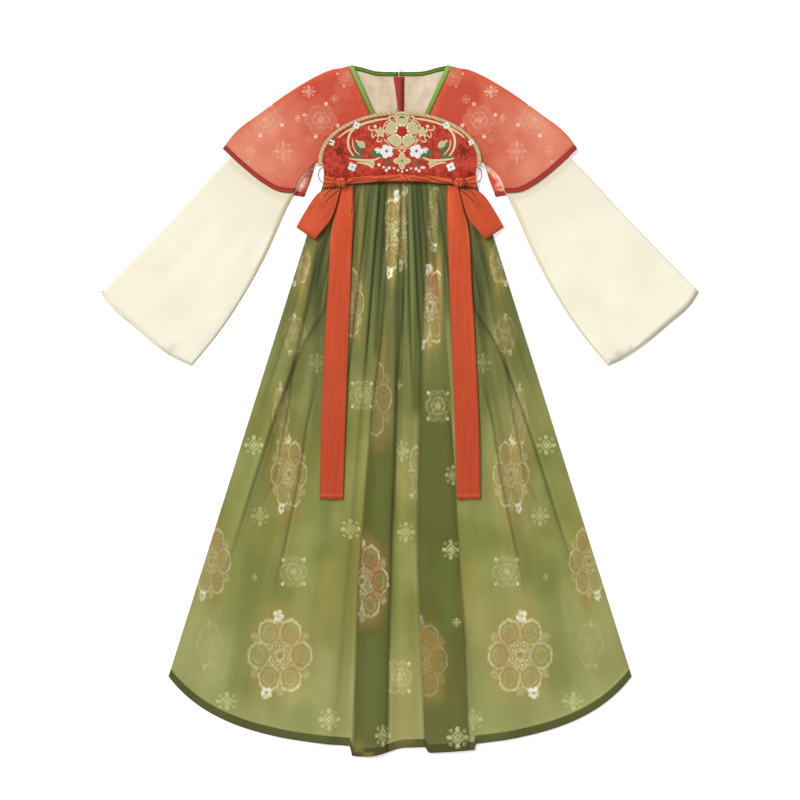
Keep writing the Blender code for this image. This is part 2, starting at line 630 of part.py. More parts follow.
def bodice_piping():
    u, v = grid(DOME_COLUMNS + 2, 1)
    angle = (u - 0.5) * math.pi * (DOME_COLUMNS + 2) / DOME_COLUMNS
    half = DOME_HALF + GAP + PIPING * 1.1 * v
    rise = DOME_RISE + GAP + PIPING * 0.85 * v
    panel("bodice_piping", half * np.sin(angle), DOME_CENTRE - rise * np.cos(angle), 1.0, GOLD, 0.0022)


def sash_side(word, side):
    u, v = grid(3, 2)
    (o0, a0, b0), (o1, a1, b1) = SIDE_BAND
    out = o0 + (o1 - o0) * u
    top = a0 + (a1 - a0) * u
    down = top + (b0 + (b1 - b0) * u - top) * v
    panel("sash_side_" + word, out, down, side, SASH, RIBBON_THICK, passes=4)


def streamer(word, side):
    u, v = grid(3, 26)
    v = v**1.25
    inner = route(STREAMER_INNER, v)
    outer = route(STREAMER_OUTER, v)
    points = inner + (outer - inner) * u[..., None]
    fold = STREAMER_FOLD * np.sin(math.pi * u) * smooth((0.35 - v) / 0.3) * smooth(v * 12.0)
    panel("streamer_" + word, points[..., 0], points[..., 1], side, SASH, RIBBON_THICK, lift=fold, passes=1)


def bow_loop(word, side):
    """A loop of ribbon pressed nearly flat: out along the under layer, round, and back above it."""
    run, turn = 9, 6
    wide = BOW_PUFF / 2
    length = float(np.linalg.norm(np.subtract(BOW_OUTER[-1], BOW_OUTER[0])))
    straight = length - RIBBON_THICK - wide
    u = np.linspace(0.0, 1.0, 4)[:, None]
    s = np.linspace(0.0, straight, run + 1)[None, :]
    arc = np.linspace(-math.pi / 2, math.pi / 2, turn + 1)[None, 1:-1]

    def plan(distance):
        t = np.broadcast_to(distance / length, (u.shape[0], distance.shape[1]))
        edge = route(BOW_OUTER, t)
        points = edge + (route(BOW_INNER, t) - edge) * u[..., None]
        return place(points[..., 0], points[..., 1], side)

    x, y = plan(s)
    floor = relief.sink(x, y, relief.rest(x, y, reach_of(x, y)), 2)
    gap = GAP / 2 + (wide - GAP / 2) * smooth(s / straight)
    middle = floor[:, -1:] + RIBBON_THICK + wide

    def sheet(skin):
        """The outer sheet has skin 0 and the inner one lies a layer inside it."""
        low = floor + skin
        high = floor + 2 * RIBBON_THICK + 2 * gap - skin
        round_x, round_y = plan(straight + (RIBBON_THICK + wide - skin) * np.cos(arc))
        round_z = middle + (RIBBON_THICK + wide - skin) * np.sin(arc)
        return np.stack([np.hstack([x, round_x, x[:, ::-1]]), np.hstack([y, round_y, y[:, ::-1]]),
                         np.hstack([low, round_z, high[:, ::-1]])], -1)

    relief.lay(x, y, floor + 2 * RIBBON_THICK + 2 * gap)
    wall("bow_loop_" + word, sheet(0.0), sheet(RIBBON_THICK), SASH)


def sash_roll():
    """The sash between the knots, twisted into a cord."""
    stations, around = 40, 12
    t, angle = np.meshgrid(np.linspace(-1, 1, stations + 1), np.linspace(0, 2 * math.pi, around + 1))
    out = t * ROLL_END
    centre_down = SASH_ROLL_DOWN[1] + (SASH_ROLL_DOWN[0] - SASH_ROLL_DOWN[1]) * t**2
    lobe = 1.0 + ROLL_LOBE * np.cos(2.0 * (angle - math.pi * ROLL_TURNS * t))
    narrow = 1.0 - ROLL_TAPER * np.abs(t)
    down = centre_down + ROLL_HALF[0] * narrow * lobe * np.cos(angle)
    x, y = place(out, down)
    rise = ROLL_HALF[1] * narrow * lobe * np.sin(angle)
    under = (relief.close()[relief.cells(x, y)] - rise).max(axis=0)
    padded = np.pad(under, 1, mode="edge")
    under = np.maximum.reduce([padded[n:n + len(under)] for n in range(3)])
    z = np.convolve(np.pad(under, 1, mode="edge"), np.full(3, 1 / 3), "valid") + rise
    relief.lay(x, y, z)
    bm, column, row = lattice(around, stations)
    points = np.stack([x, y, z], -1)
    for vert in bm.verts:
        vert.co = points[vert[column], vert[row]]
    bmesh.ops.remove_doubles(bm, verts=bm.verts, dist=1e-6)
    bmesh.ops.holes_fill(bm, edges=bm.edges, sides=around + 1)
    mesh_object("sash_roll", bm, SASH)


def knot(word, side):
    """A small bound knot with a shallow waist where the ribbon crosses it."""
    out, down = KNOT
    x, y = place(out, down, side)
    px, py = np.meshgrid(np.linspace(-1, 1, 25), np.linspace(-1, 1, 25))
    within = px**2 + py**2 < 1.0
    bowl = np.minimum(np.sqrt(np.clip(1.0 - px**2 - py**2, 0.0, 1.0)), KNOT_FLAT)
    ground = relief.close()[relief.cells(x + KNOT_HALF[0] * px, y + KNOT_HALF[1] * py)]
    centre = (ground + KNOT_HALF[2] * bowl)[within].max()
    bm = bmesh.new()
    bmesh.ops.create_uvsphere(bm, u_segments=16, v_segments=10, radius=1.0)
    for vert in bm.verts:
        waist = 1.0 - KNOT_WAIST[0] * math.exp(-(vert.co.x / KNOT_WAIST[1]) ** 2)
        flat = max(vert.co.z, -KNOT_FLAT)
        vert.co = Vector((x + KNOT_HALF[0] * vert.co.x, y + KNOT_HALF[1] * waist * vert.co.y,
                          centre + KNOT_HALF[2] * flat * waist))
    mesh_object("knot_" + word, bm, SASH)


def thread(name, points, diameter, material, spacing):
    """A thin round cord through the points, as a filled tube."""
    length = sum(math.dist(a, b) for a, b in zip(points, points[1:]))
    count = max(3, round(length / spacing) + 1)
    curve = bpy.data.curves.new(name, "CURVE")
    curve.dimensions = "3D"
    curve.bevel_depth = diameter / 2
    curve.bevel_resolution = 2
    curve.use_fill_caps = True
    spline = curve.splines.new("POLY")
    spline.points.add(count - 1)
    for point, t in zip(spline.points, np.linspace(0, 1, count)):
        point.co = (*route(points, t), 1.0)
    curve.materials.append(material)
    dress.objects.link(bpy.data.objects.new(name, curve))


def side_loop(word, side):
    points = [(*place(out, down, side), up) for out, down, up in LOOP_ROUTE]
    thread("side_loop_" + word, points, LOOP_THREAD, THREAD, 2.2 * LOOP_THREAD)


def neck_hook():
    points = [(*place(out, down), up) for out, down, up in HOOK_ROUTE]
    thread("neck_hook", points, HOOK_WIRE, STEEL, 0.002)


def build():
    skirt_back()
    back_bodice()
    for word, side in SIDES:
        back_pieces(word, side)
    relief.settle()
    for word, side in SIDES:
        back_lining(word, side)
    relief.settle()
    back_placket()
    relief.settle()
    for word, side in SIDES:
        sleeve(word, side)
    relief.settle()
    for word, side in SIDES:
        cape_front(word, side)
    relief.settle()
    bodice_front()
    bodice_piping()
    skirt_front()
    relief.settle()
    for word, side in SIDES:
        sash_side(word, side)
        streamer(word, side)
        bow_loop(word, side)
    relief.settle()
    sash_roll()
    for word, side in SIDES:
        knot(word, side)
        side_loop(word, side)
    neck_hook()


build()
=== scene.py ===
# %% [markdown]
# # A girl's hanfu dress, laid flat
#
# This is a chest-high dress of the Tang style: coral chiffon over cream sleeves, an embroidered chest
# panel, a tied sash and a full gathered skirt of printed green chiffon. It lies on a table with its front
# up, and the camera looks straight down.
#
# The CAD part gives the cut and the thickness of every sewn piece. This script gives them their cloth:
# finer folds where the CAD solid is too coarse, and a procedural material for every piece.

# %% The frame
import math

import bmesh
import bpy
import numpy as np
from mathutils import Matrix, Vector
from mathutils.bvhtree import BVHTree


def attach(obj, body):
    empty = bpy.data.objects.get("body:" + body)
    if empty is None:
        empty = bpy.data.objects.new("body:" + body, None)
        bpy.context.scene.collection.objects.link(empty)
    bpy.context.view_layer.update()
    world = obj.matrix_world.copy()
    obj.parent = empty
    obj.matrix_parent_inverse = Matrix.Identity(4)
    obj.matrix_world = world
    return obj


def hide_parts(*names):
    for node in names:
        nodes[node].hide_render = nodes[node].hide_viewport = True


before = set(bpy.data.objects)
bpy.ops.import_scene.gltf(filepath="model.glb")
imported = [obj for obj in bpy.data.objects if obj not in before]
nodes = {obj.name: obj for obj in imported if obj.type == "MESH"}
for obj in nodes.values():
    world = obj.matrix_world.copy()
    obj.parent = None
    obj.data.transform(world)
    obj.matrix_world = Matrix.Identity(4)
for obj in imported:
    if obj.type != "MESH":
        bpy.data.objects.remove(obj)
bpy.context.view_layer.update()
print("the CAD dress has", len(nodes), "sewn pieces")

# %% [markdown]
# ## Measures from the pattern
#
# Points on the dress are given as a pattern maker would: how far out from the centre line, and how far down
# from the neck. One function turns them into X and Y, so both sides of the dress come from one list.

# %% Measures and curves
LENGTH = 1.1070             # neck point to the lowest point of the hem
HEM_ALLOWANCE = 0.0130      # the turned-up hem
WAIST = 0.1872              # waist seam, below the neck
APEX = 0.2013               # the skirt's fold lines all run towards this point above the neck
SPREAD = 0.314              # half width that the skirt gains for each unit of length
LEFT_FOLD_DROP = 0.0155     # the doubled folds down the middle hang this much lower than the hem beside them
RIGHT_FOLD_DROP = 0.0092
HEM_RADIUS = LENGTH + APEX - LEFT_FOLD_DROP
HEM_LIFT = 0.057            # the side seams are shorter than the middle by this
HEM_POWER = 4.5             # how late along its width the hem turns up
SIDES = (("left", 1.0), ("right", -1.0))    # the wearer's sides and which way along X they are


def place(out, down, side=1.0):
    """World X and Y of a point given as out and down."""
    return side * out, LENGTH / 2 - down


def smooth(value):
    """0 below 0, 1 above 1, and a soft step between."""
    value = np.clip(value, 0.0, 1.0)
    return value * value * (3.0 - 2.0 * value)


def route(points, t):
    """Point at t (0 to 1 by length) on the smooth curve through the points."""
    knots = np.asarray(points, float)
    steps = np.linalg.norm(np.diff(knots, axis=0), axis=1)
    at = np.concatenate([[0.0], np.cumsum(steps)]) / steps.sum()
    slopes = np.gradient(knots, at, axis=0)
    t = np.clip(np.asarray(t, float), 0.0, 1.0)
    i = np.clip(np.searchsorted(at, t, side="right") - 1, 0, len(at) - 2)
    span = at[i + 1] - at[i]
    w = ((t - at[i]) / span)[..., None]
    span = span[..., None]
    return ((2 * w**3 - 3 * w**2 + 1) * knots[i] + (w**3 - 2 * w**2 + w) * span * slopes[i]
            + (3 * w**2 - 2 * w**3) * knots[i + 1] + (w**3 - w**2) * span * slopes[i + 1])


# %% [markdown]
# ## Camera, table and light
#
# The dress was photographed from straight above, so a long lens from 4 m up keeps its outline true. A
# distant broad lamp from the upper left rakes across the folds, and the pale surround fills the shadows.

# %% Camera and light
camera = bpy.data.objects.new("camera", bpy.data.cameras.new("camera"))
camera.location = (0.0, 0.0176, 4.0)    # over the middle of the photograph
camera.data.lens = 112.5
bpy.context.scene.collection.objects.link(camera)
bpy.context.scene.camera = camera
bpy.context.scene.view_settings.view_transform = "Standard"

lamp = bpy.data.objects.new("softbox", bpy.data.lights.new("softbox", "SUN"))
lamp.data.energy = 2.1
lamp.data.angle = math.radians(24)
lamp.rotation_euler = Vector((-0.75, 0.62, 1.0)).to_track_quat("Z", "Y").to_euler()
bpy.context.scene.collection.objects.link(lamp)

world = bpy.data.worlds.new("white room")
world.use_nodes = True
world.node_tree.nodes["Background"].inputs["Strength"].default_value = 0.55
world.node_tree.nodes["Background"].inputs["Color"].default_value = (1.0, 1.0, 1.0, 1.0)
bpy.context.scene.world = world
print("camera at", tuple(camera.location), "with a", camera.data.lens, "mm lens")

# %% [markdown]
# ## Helpers for materials
#
# Every material is a small tree of nodes. One function adds a node, fills its sockets and sets its
# options. One turns a colour given in hex into the linear values that the renderer works in.

# %% Material helpers


def linear(hex_colour):
    """An sRGB hex colour as linear RGBA."""
    values = [int(hex_colour[i:i + 2], 16) / 255 for i in (1, 3, 5)]
    return [v / 12.92 if v <= 0.04045 else ((v + 0.055) / 1.055) ** 2.4 for v in values] + [1.0]


def output(node):
    """The output socket of a node that is in use."""
    return next(socket for socket in node.outputs if socket.enabled)


def add(kind, *values, at=None, **settings):
    """One node. values fill its sockets in order, at fills them by number or name, None leaves one alone."""
    node = tree.nodes.new("ShaderNode" + kind)
    for name, setting in settings.items():
        setattr(node, name, setting)
    for socket, value in {**dict(enumerate(values)), **(at or {})}.items():
        if isinstance(value, bpy.types.Node):
            value = output(value)
        if isinstance(value, bpy.types.NodeSocket):
            tree.links.new(value, node.inputs[socket])
        elif value is not None:
            node.inputs[socket].default_value = linear(value) if isinstance(value, str) else value
    return node


def material(name, roughness, sheen=0.0):
    """A cloth material. The helpers build on the tree, shader and place of the material made last."""
    global tree, shader, object_place
    made = bpy.data.materials.new(name)
    made.use_nodes = True
    tree = made.node_tree
    shader = tree.nodes["Principled BSDF"]
    for socket, value in (("Roughness", roughness), ("Sheen Weight", sheen), ("Sheen Roughness", 0.5),
                          ("Specular IOR Level", 0.2)):
        shader.inputs[socket].default_value = value
    object_place = add("TexCoord").outputs["Object"]
    return made


def weaker(mask, *shares):
    """A mask times numbers and other masks."""
    for share in shares:
        mask = add("Math", mask, share, operation="MULTIPLY")
    return mask


def strongest(mask, *others):
    """The greatest of several masks."""
    for other in others:
        mask = add("Math", mask, other, operation="MAXIMUM")
    return mask


def painted(ground, *tints):
    """The ground colour with tints laid over it, each as strong as its mask."""
    for mask, tint in tints:
        ground = add("Mix", mask, data_type="RGBA", at={6: ground, 7: tint})
    return ground


def dye(colour, gain=None):
    """Gives the shader its colour, made lighter or darker by the gain."""
    if gain is not None:
        colour = add("VectorMath", colour, at={3: gain}, operation="SCALE")
    tree.links.new(output(colour), shader.inputs["Base Color"])


def emboss(height, strength, depth, under=None):
    """Bump from a height, on top of the bump of another height."""
    bump = add("Bump", at={"Strength": strength, "Distance": depth, "Height": height})
    if under is not None:
        low = add("Bump", at={"Strength": 1.0, "Distance": 1.0, "Height": under})
        tree.links.new(low.outputs[0], bump.inputs["Normal"])
    tree.links.new(bump.outputs[0], shader.inputs["Normal"])


def threads_apart(spacing):
    """The scale at which a wave texture has one thread for each spacing, in metres."""
    return 2 * math.pi / (20 * spacing)


def weave(spacing, depth, under=None):
    """Bump of a plain weave: warp and weft threads that cross."""
    warp, weft = (
        add("TexWave", object_place, threads_apart(spacing), 0.4, 1.0, 40.0, bands_direction=direction)
        for direction in "XY"
    )
    crossed = add("Math", warp.outputs["Fac"], weft.outputs["Fac"], operation="ADD")
    emboss(crossed, 0.6, depth, under)


print("helpers ready")

# %% [markdown]
# ## Helpers for pieces
#
# A CAD node keeps its mesh. Where cloth needs softer edges or finer wrinkles than its solid has, a copy of
# the mesh is merged, its loose triangles are joined to quads and it is subdivided, and the copy stands for
# the node. Anything that lies on cloth finds its height by a ray cast straight down.

# %% Piece helpers


def keep(name, bm, finish, slot, *stands_for):
    """A finished bmesh as a piece of the dress, in place of the CAD nodes that it stands for."""
    mesh = bpy.data.meshes.new(name)
    bm.to_mesh(mesh)
    bm.free()
    mesh.materials.append(finish)
    mesh.shade_smooth()
    piece = bpy.data.objects.new(name, mesh)
    bpy.context.scene.collection.objects.link(piece)
    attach(piece, "root")
    if stands_for:
        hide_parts(*stands_for)
    return piece


def copied(node):
    """The CAD node's mesh with its triangles merged back to quads."""
    bm = bmesh.new()
    bm.from_mesh(nodes[node].data)
    bmesh.ops.remove_doubles(bm, verts=bm.verts, dist=1e-6)
    bmesh.ops.join_triangles(bm, faces=bm.faces, angle_face_threshold=0.6, angle_shape_threshold=0.9)
    return bm


def subdivided(bm, levels, corner=math.radians(40)):
    """The bmesh after Catmull-Clark subdivision, with every edge sharper than the corner angle kept."""
    crease = bm.edges.layers.float.new("crease_edge")
    for edge in bm.edges:
        if edge.calc_face_angle(0.0) > corner:
            edge[crease] = 1.0
    mesh = bpy.data.meshes.new("to subdivide")
    bm.to_mesh(mesh)
    bm.free()
    rough = bpy.data.objects.new("to subdivide", mesh)
    bpy.context.scene.collection.objects.link(rough)
    modifier = rough.modifiers.new("subdivide", "SUBSURF")
    modifier.levels = levels
    modifier.render_levels = levels
    graph = bpy.context.evaluated_depsgraph_get()
    made = bmesh.new()
    made.from_mesh(rough.evaluated_get(graph).to_mesh())
    bpy.data.objects.remove(rough, do_unlink=True)
    bpy.data.meshes.remove(mesh)
    return made


def surface_of(bm):
    """A bmesh as something to cast rays on."""
    return BVHTree.FromBMesh(bm)


def height_on(surface, x, y, missing=0.0):
    """Height of the surface at a point, seen from above."""
    hit = surface.ray_cast(Vector((x, y, 1.0)), Vector((0.0, 0.0, -1.0)))[0]
    return missing if hit is None else hit.z


def points_of(bm):
    """All points of a bmesh as an array of x, y, z."""
    return np.array([vert.co for vert in bm.verts])


def set_heights(bm, z):
    """Gives each point of a bmesh its height."""
    for vert, height in zip(bm.verts, z):
        vert.co.z = height


def mark(bm, name, values):
    """Keeps one number on each point, for materials to read."""
    layer = bm.verts.layers.float.new(name)
    for vert, value in zip(bm.verts, values):
        vert[layer] = float(value)


def lower_side(bm):
    """Makes a closed piece of an open sheet. Gives the points of its new side, which lie on the old one."""
    grown = bmesh.ops.extrude_face_region(bm, geom=bm.faces[:], use_keep_orig=True)
    return [part for part in grown["geom"] if isinstance(part, bmesh.types.BMVert)]


def waves(x, y, seed, size):
    """Smooth irregular waves between -1 and 1, about this far from crest to crest."""
    total = np.zeros_like(x)
    for n in range(5):
        turn = seed * 1.7 + n * 2.4
        across = x * math.cos(turn) + y * math.sin(turn)
        total += np.sin(2 * math.pi * across / (size * (0.7 + 0.21 * n)) + seed * 3.1 + n)
    return total / 5


print("piece helpers ready")

# %% [markdown]
# ## The table
#
# A matt white board, lit a little from below as a light table is, so that the dress throws hardly any
# shadow.

# %% Table
board = material("matt_white_board", 0.9)
shader.inputs["Base Color"].default_value = linear("#fafafa")
shader.inputs["Emission Color"].default_value = linear("#ffffff")
shader.inputs["Emission Strength"].default_value = 0.35
bm = bmesh.new()
bmesh.ops.create_grid(bm, x_segments=1, y_segments=1, size=4.0)
bmesh.ops.translate(bm, verts=bm.verts, vec=(0.0, 0.0, -0.0003))
mesh = bpy.data.meshes.new("table")
bm.to_mesh(mesh)
bm.free()
mesh.materials.append(board)
table = bpy.data.objects.new("table", mesh)
bpy.context.scene.collection.objects.link(table)
print("table", [round(side, 1) for side in table.dimensions], "m")

# %% [markdown]
# ## Thread loops
#
# A loop of brown thread stands out at each side of the bodice. It is a free cord 1.2 mm thick, so it is a
# curve with a round section that follows the route of its CAD solid, from the upper seam to the lower one.

# %% Thread loops
LOOP_THREAD = 0.0012
LOOP_ROUTE = [(0.1229, 0.1640, 0.0030), (0.1264, 0.1650, 0.0020), (0.1293, 0.1684, 0.0010),
              (0.1305, 0.1740, 0.0008), (0.1300, 0.1800, 0.0008), (0.1275, 0.1852, 0.0014),
              (0.1231, 0.1886, 0.0030)]

# Mercerised cotton thread: a hard twist, so fine diagonal bands with a slight shine
thread_finish = material("mercerised_brown_thread", 0.55, 0.2)
twist = add("TexWave", add("TexCoord").outputs["UV"], 6.0, 0.6, 1.0, bands_direction="DIAGONAL")
dye(painted("#4a3a2c", (twist, "#7a6650")))

for word, side in SIDES:
    points = [(*place(out, down, side), up) for out, down, up in LOOP_ROUTE]
    along = route(points, np.linspace(0.0, 1.0, 25))
    length = float(np.linalg.norm(np.diff(along, axis=0), axis=1).sum())
    curve = bpy.data.curves.new("thread_loop_" + word, "CURVE")
    curve.dimensions = "3D"
    curve.bevel_depth = LOOP_THREAD / 2
    curve.bevel_resolution = 3
    curve.use_fill_caps = True
    spline = curve.splines.new("POLY")
    spline.points.add(len(along) - 1)
    for point, position in zip(spline.points, along):
        point.co = (*position, 1.0)
    curve.materials.append(thread_finish)
    loop = bpy.data.objects.new("thread_loop_" + word, curve)
    bpy.context.scene.collection.objects.link(loop)
    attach(loop, "root")
    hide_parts("side_loop_" + word)
    print("thread loop", word, round(length * 1000, 1), "mm long")

# %% [markdown]
# ## Folds of the skirt
#
# The skirt is gathered into the waist and falls in long folds, and two deep folds down the middle lie
# doubled. The CAD solid holds the large ones. The fine gathers and the sharp creases are read off the
# photograph, whose grid is 1.6 mm, as short lists of places down each crease.

# %% Fold lines
PIXEL = 0.0016              # one step of the photograph's grid
CENTRE_COLUMN = 400         # grid column and row of the world's origin
CENTRE_ROW = 411


def seen(px, py):
    """X and Y of a place on the photograph's grid."""
    return (px - CENTRE_COLUMN) * PIXEL, (CENTRE_ROW - py) * PIXEL


def grid_of(x, y):
    """Grid column and row of a place."""
    return x / PIXEL + CENTRE_COLUMN, CENTRE_ROW - y / PIXEL


def beside_middle(places, side):
    """A line given as steps out from the middle and rows, on one side of the grid."""
    return [(CENTRE_COLUMN + side * out, row) for out, row in places]


# Creases on both sides: places (grid steps out, grid row), width in mm, shade, and the side in shadow
SIDE_CREASES = [
    ([(62, 215), (75, 310), (96, 343), (111, 380), (128, 427), (144, 476), (156, 514), (166, 546),
      (181, 590), (194, 620)], 2.4, 0.50, -1),
    ([(84, 385), (93, 425), (100, 474), (108, 514), (117, 555), (130, 615)], 2.0, 0.42, 1),
    ([(104, 350), (111, 405), (120, 451), (125, 480), (138, 505), (160, 532)], 2.0, 0.30, 1),
    ([(76, 200), (82, 300), (86, 400), (82, 470)], 7.0, 0.30, -1),
    ([(86, 210), (103, 300), (122, 360), (150, 440)], 2.5, 0.22, 1),
    ([(79, 230), (90, 300), (104, 360), (118, 410)], 2.0, 0.30, 1),
    ([(120, 640), (150, 690), (160, 715)], 10.0, 0.10, 1),
]
# Creases of the middle: places (grid column, grid row), width in mm, shade, and the side in shadow
LEFT_FOLD_EDGE = [(392, 230), (386, 270), (381, 343), (372.6, 404), (366.5, 478), (359, 580), (352.5, 760)]
LEFT_FOLD_END = [(405, 230), (403, 310), (397, 380), (396, 445), (395.3, 474), (392.4, 527), (389.6, 642),
                 (387.7, 760)]
RIGHT_FOLD_EDGE = [(428.5, 190), (428, 214), (426, 265), (422, 344), (420.6, 364), (418.6, 425),
                   (417.3, 478), (417.3, 566), (420, 623), (425, 760)]
RIGHT_FOLD_END = [(445.5, 190), (445, 290), (445, 330), (450, 384), (455.3, 478), (460, 566), (465, 623),
                  (470.5, 760)]
MIDDLE_CREASES = [
    (LEFT_FOLD_EDGE, 1.8, 0.50, 1),
    (LEFT_FOLD_END, 2.2, 0.50, -1),
    (RIGHT_FOLD_EDGE, 1.6, 0.30, 1),
    (RIGHT_FOLD_END, 1.4, 0.22, -1),
    ([(403.6, 285), (403.6, 352), (401, 371), (400, 395)], 1.2, 0.45, -1),
    ([(347, 210), (347, 330), (343, 470), (341, 560)], 3.0, 0.18, 1),
]
print(len(SIDE_CREASES), "creases on each side and", len(MIDDLE_CREASES), "down the middle")

# %% Light and dark streaks
# Painted light and shade along the folds: places, half width in grid steps, how much lighter, and how golden
SIDE_TONES = [
    ([(85, 243), (93, 262), (99, 282)], 6, 0.24, 0.8), ([(100, 300), (104, 330), (107, 350)], 8, 0.12, 0.4),
    ([(100, 352), (104, 385)], 8, -0.14, 0.0), ([(121, 395), (117, 440)], 5, 0.10, 0.5),
    ([(112, 445), (110, 515)], 13, 0.02, 0.8), ([(146, 565), (150, 620), (160, 680)], 13, -0.10, -0.7),
    ([(170, 560), (176, 610)], 8, 0.04, -0.6), ([(187, 530), (184, 600)], 11, -0.02, 0.9),
    ([(198, 625), (194, 670)], 12, 0.06, 0.1), ([(93, 690), (93, 725)], 22, 0.10, -0.3),
    ([(72, 570), (70, 610)], 14, 0.05, 0.5), ([(121, 610), (119, 690)], 30, 0.07, 0.5),
    ([(176, 650), (182, 700)], 12, 0.08, -0.2), ([(128, 480), (134, 540)], 6, -0.04, 0.3),
    ([(146, 455), (150, 500)], 8, 0.03, -0.5), ([(88, 500), (86, 560)], 9, 0.06, -0.6),
    ([(74, 505), (70, 545)], 7, -0.04, -0.4), ([(78, 360), (76, 420)], 8, 0.05, -0.6),
    ([(88, 210), (82, 300)], 5, -0.20, -0.2), ([(110, 260), (128, 350)], 4, 0.06, -0.3),
    ([(60, 680), (58, 725)], 12, -0.05, 0.1),
]
MIDDLE_TONES = [
    ([(361, 192), (361, 235), (358, 330)], 2.6, 0.24, 0.6),
    ([(373, 190), (372, 300), (371, 350)], 2.6, 0.14, 0.0),
    ([(382, 186), (381, 260), (377, 345)], 3.6, -0.40, -0.2),
    ([(393, 200), (392, 240), (391, 274)], 6.0, 0.26, 0.9),
    ([(392, 278), (387, 320), (383, 352)], 3.2, 0.24, 0.1), ([(404.6, 186), (404.6, 252)], 2.8, 0.28, 0.8),
    ([(398, 280), (397, 350)], 4.0, -0.16, 0.0), ([(411, 186), (411, 300), (410, 400)], 2.6, 0.10, -0.6),
    ([(418, 190), (420, 250), (417, 400)], 5.0, -0.40, -0.2), ([(434, 194), (433, 240)], 5.0, 0.22, 0.2),
    ([(434, 266), (431, 345)], 8.0, 0.10, 0.9), ([(440, 250), (440, 330)], 2.6, 0.28, 0.5),
    ([(449, 330), (452, 400), (457, 478)], 2.6, 0.30, -0.2),
    ([(384, 352), (382, 400), (378, 442)], 7.0, -0.10, 0.8), ([(361, 385), (360, 480)], 9.0, 0.10, 0.2),
    ([(399, 372), (398, 450)], 5.0, -0.26, 0.0), ([(403, 448), (404, 520)], 6.0, 0.10, 0.4),
    ([(394, 500), (391, 640)], 3.0, -0.22, 0.0), ([(366, 545), (366, 620)], 14.0, -0.10, 0.8),
    ([(430, 640), (432, 690)], 12.0, 0.04, 0.9), ([(406, 660), (404, 735)], 12.0, 0.06, 0.5),
    ([(382, 470), (380, 530)], 9.0, 0.05, -0.4), ([(370, 640), (370, 720)], 10.0, -0.06, -0.6),
    ([(446, 560), (450, 620)], 10.0, -0.05, -0.5), ([(358, 752), (368, 752)], 6.0, 0.05, 0.9),
    ([(399, 560), (399, 630)], 7.0, 0.05, -0.4),
]
print(len(SIDE_TONES), "streaks on each side and", len(MIDDLE_TONES), "down the middle")

# %% Strips of print and gathers
# Strips between folds that show other parts of the print: a line on each side, and the first and last row
PRINT_STRIPS = [
    (LEFT_FOLD_EDGE, LEFT_FOLD_END, 350, 800),
    (RIGHT_FOLD_EDGE, RIGHT_FOLD_END, 350, 800),
    ([(386.5, 190), (385, 218), (387, 275)], [(401, 190), (400.4, 218), (396, 274)], 186, 279),
    ([(401, 190), (400.4, 218), (399, 260)], [(407.6, 190), (407.6, 260)], 186, 276),
    (RIGHT_FOLD_EDGE, [(441, 262), (440, 345)], 262, 350),
    ([(409.5, 430), (409, 500)], RIGHT_FOLD_EDGE, 438, 500),
    (RIGHT_FOLD_EDGE, [(438, 190), (437, 245)], 188, 258),
]
# Gathers at the waist: grid column at GATHER_ROW, row where it fades out, and shade
GATHER_ROW = 220
GATHER_WIDTH = 1.7          # mm
GATHER_LINES = [
    (350, 400, 0.30), (356, 310, 0.34), (366.5, 450, 0.50), (371, 300, 0.30), (377.5, 400, 0.65),
    (384, 330, 0.40), (386, 270, 0.50), (401, 262, 0.50), (407.5, 420, 0.60), (414, 380, 0.60),
    (419, 350, 0.40), (424, 300, 0.44), (430, 330, 0.34), (441, 440, 0.34), (447, 380, 0.28),
    (453, 330, 0.24), (338, 330, 0.28), (463, 330, 0.28), (328, 360, 0.25), (472, 360, 0.25),
]


def fan_out(column, row):
    """A gather's grid column on another row: all gathers run towards the apex above the neck."""
    above = CENTRE_ROW - (LENGTH / 2 + APEX) / PIXEL
    return CENTRE_COLUMN + (column - CENTRE_COLUMN) * (row - above) / (GATHER_ROW - above)


creases = list(MIDDLE_CREASES)
for places, width, shade, shadow in SIDE_CREASES:
    for side in (-1, 1):
        creases.append((beside_middle(places, side), width, shade, side * shadow))
for column, last_row, shade in GATHER_LINES:
    gather_rows = (180, GATHER_ROW, (GATHER_ROW + last_row) / 2, last_row)
    creases.append(([(fan_out(column, row), row) for row in gather_rows], GATHER_WIDTH, shade, 0))
print(len(creases), "creases and gathers")

# %% [markdown]
# ## Skirt front
#
# One sheet with fine cells is laid over the CAD skirt: `create_grid` makes it, and each point goes to its
# place in the fan.

# %% Skirt places
SKIRT_COLUMNS = 300
SKIRT_ROWS = 122
HEM_ROWS = 6
SEAM_GAP = 0.0003           # the sheet starts this far below the waist seam
CHIFFON_THICK = 0.0011
SKIRT_LOWEST = 0.0026       # the top of the chiffon is never lower than this above the table
SKIRT_MISSED = 0.0027       # height of a point whose ray misses the CAD skirt
HEM_RAISED = 0.0006         # the turned-up hem lies this much higher
DOUBLED_RAISED = 0.0005     # and so do the doubled folds
CREASE_DEPTH = 0.0012       # relief of a crease of full shade
PRINT_LAYER = 2.0           # the print on a doubled fold is looked up this far to the side


def fan(column, fraction, drop=0.0):
    """Out and down of a skirt point, for a fan column and a fraction of the way from waist to hem."""
    radius = HEM_RADIUS - HEM_LIFT * np.abs(column) ** HEM_POWER + drop
    hem = radius / np.sqrt(1.0 + (column * SPREAD) ** 2)
    below_apex = (WAIST + APEX + SEAM_GAP) * (1.0 - fraction) + hem * fraction
    return column * SPREAD * below_apex, below_apex - APEX


def at_row(places, row):
    """Grid column of a line at each grid row."""
    return np.interp(row, [place[1] for place in places], [place[0] for place in places])


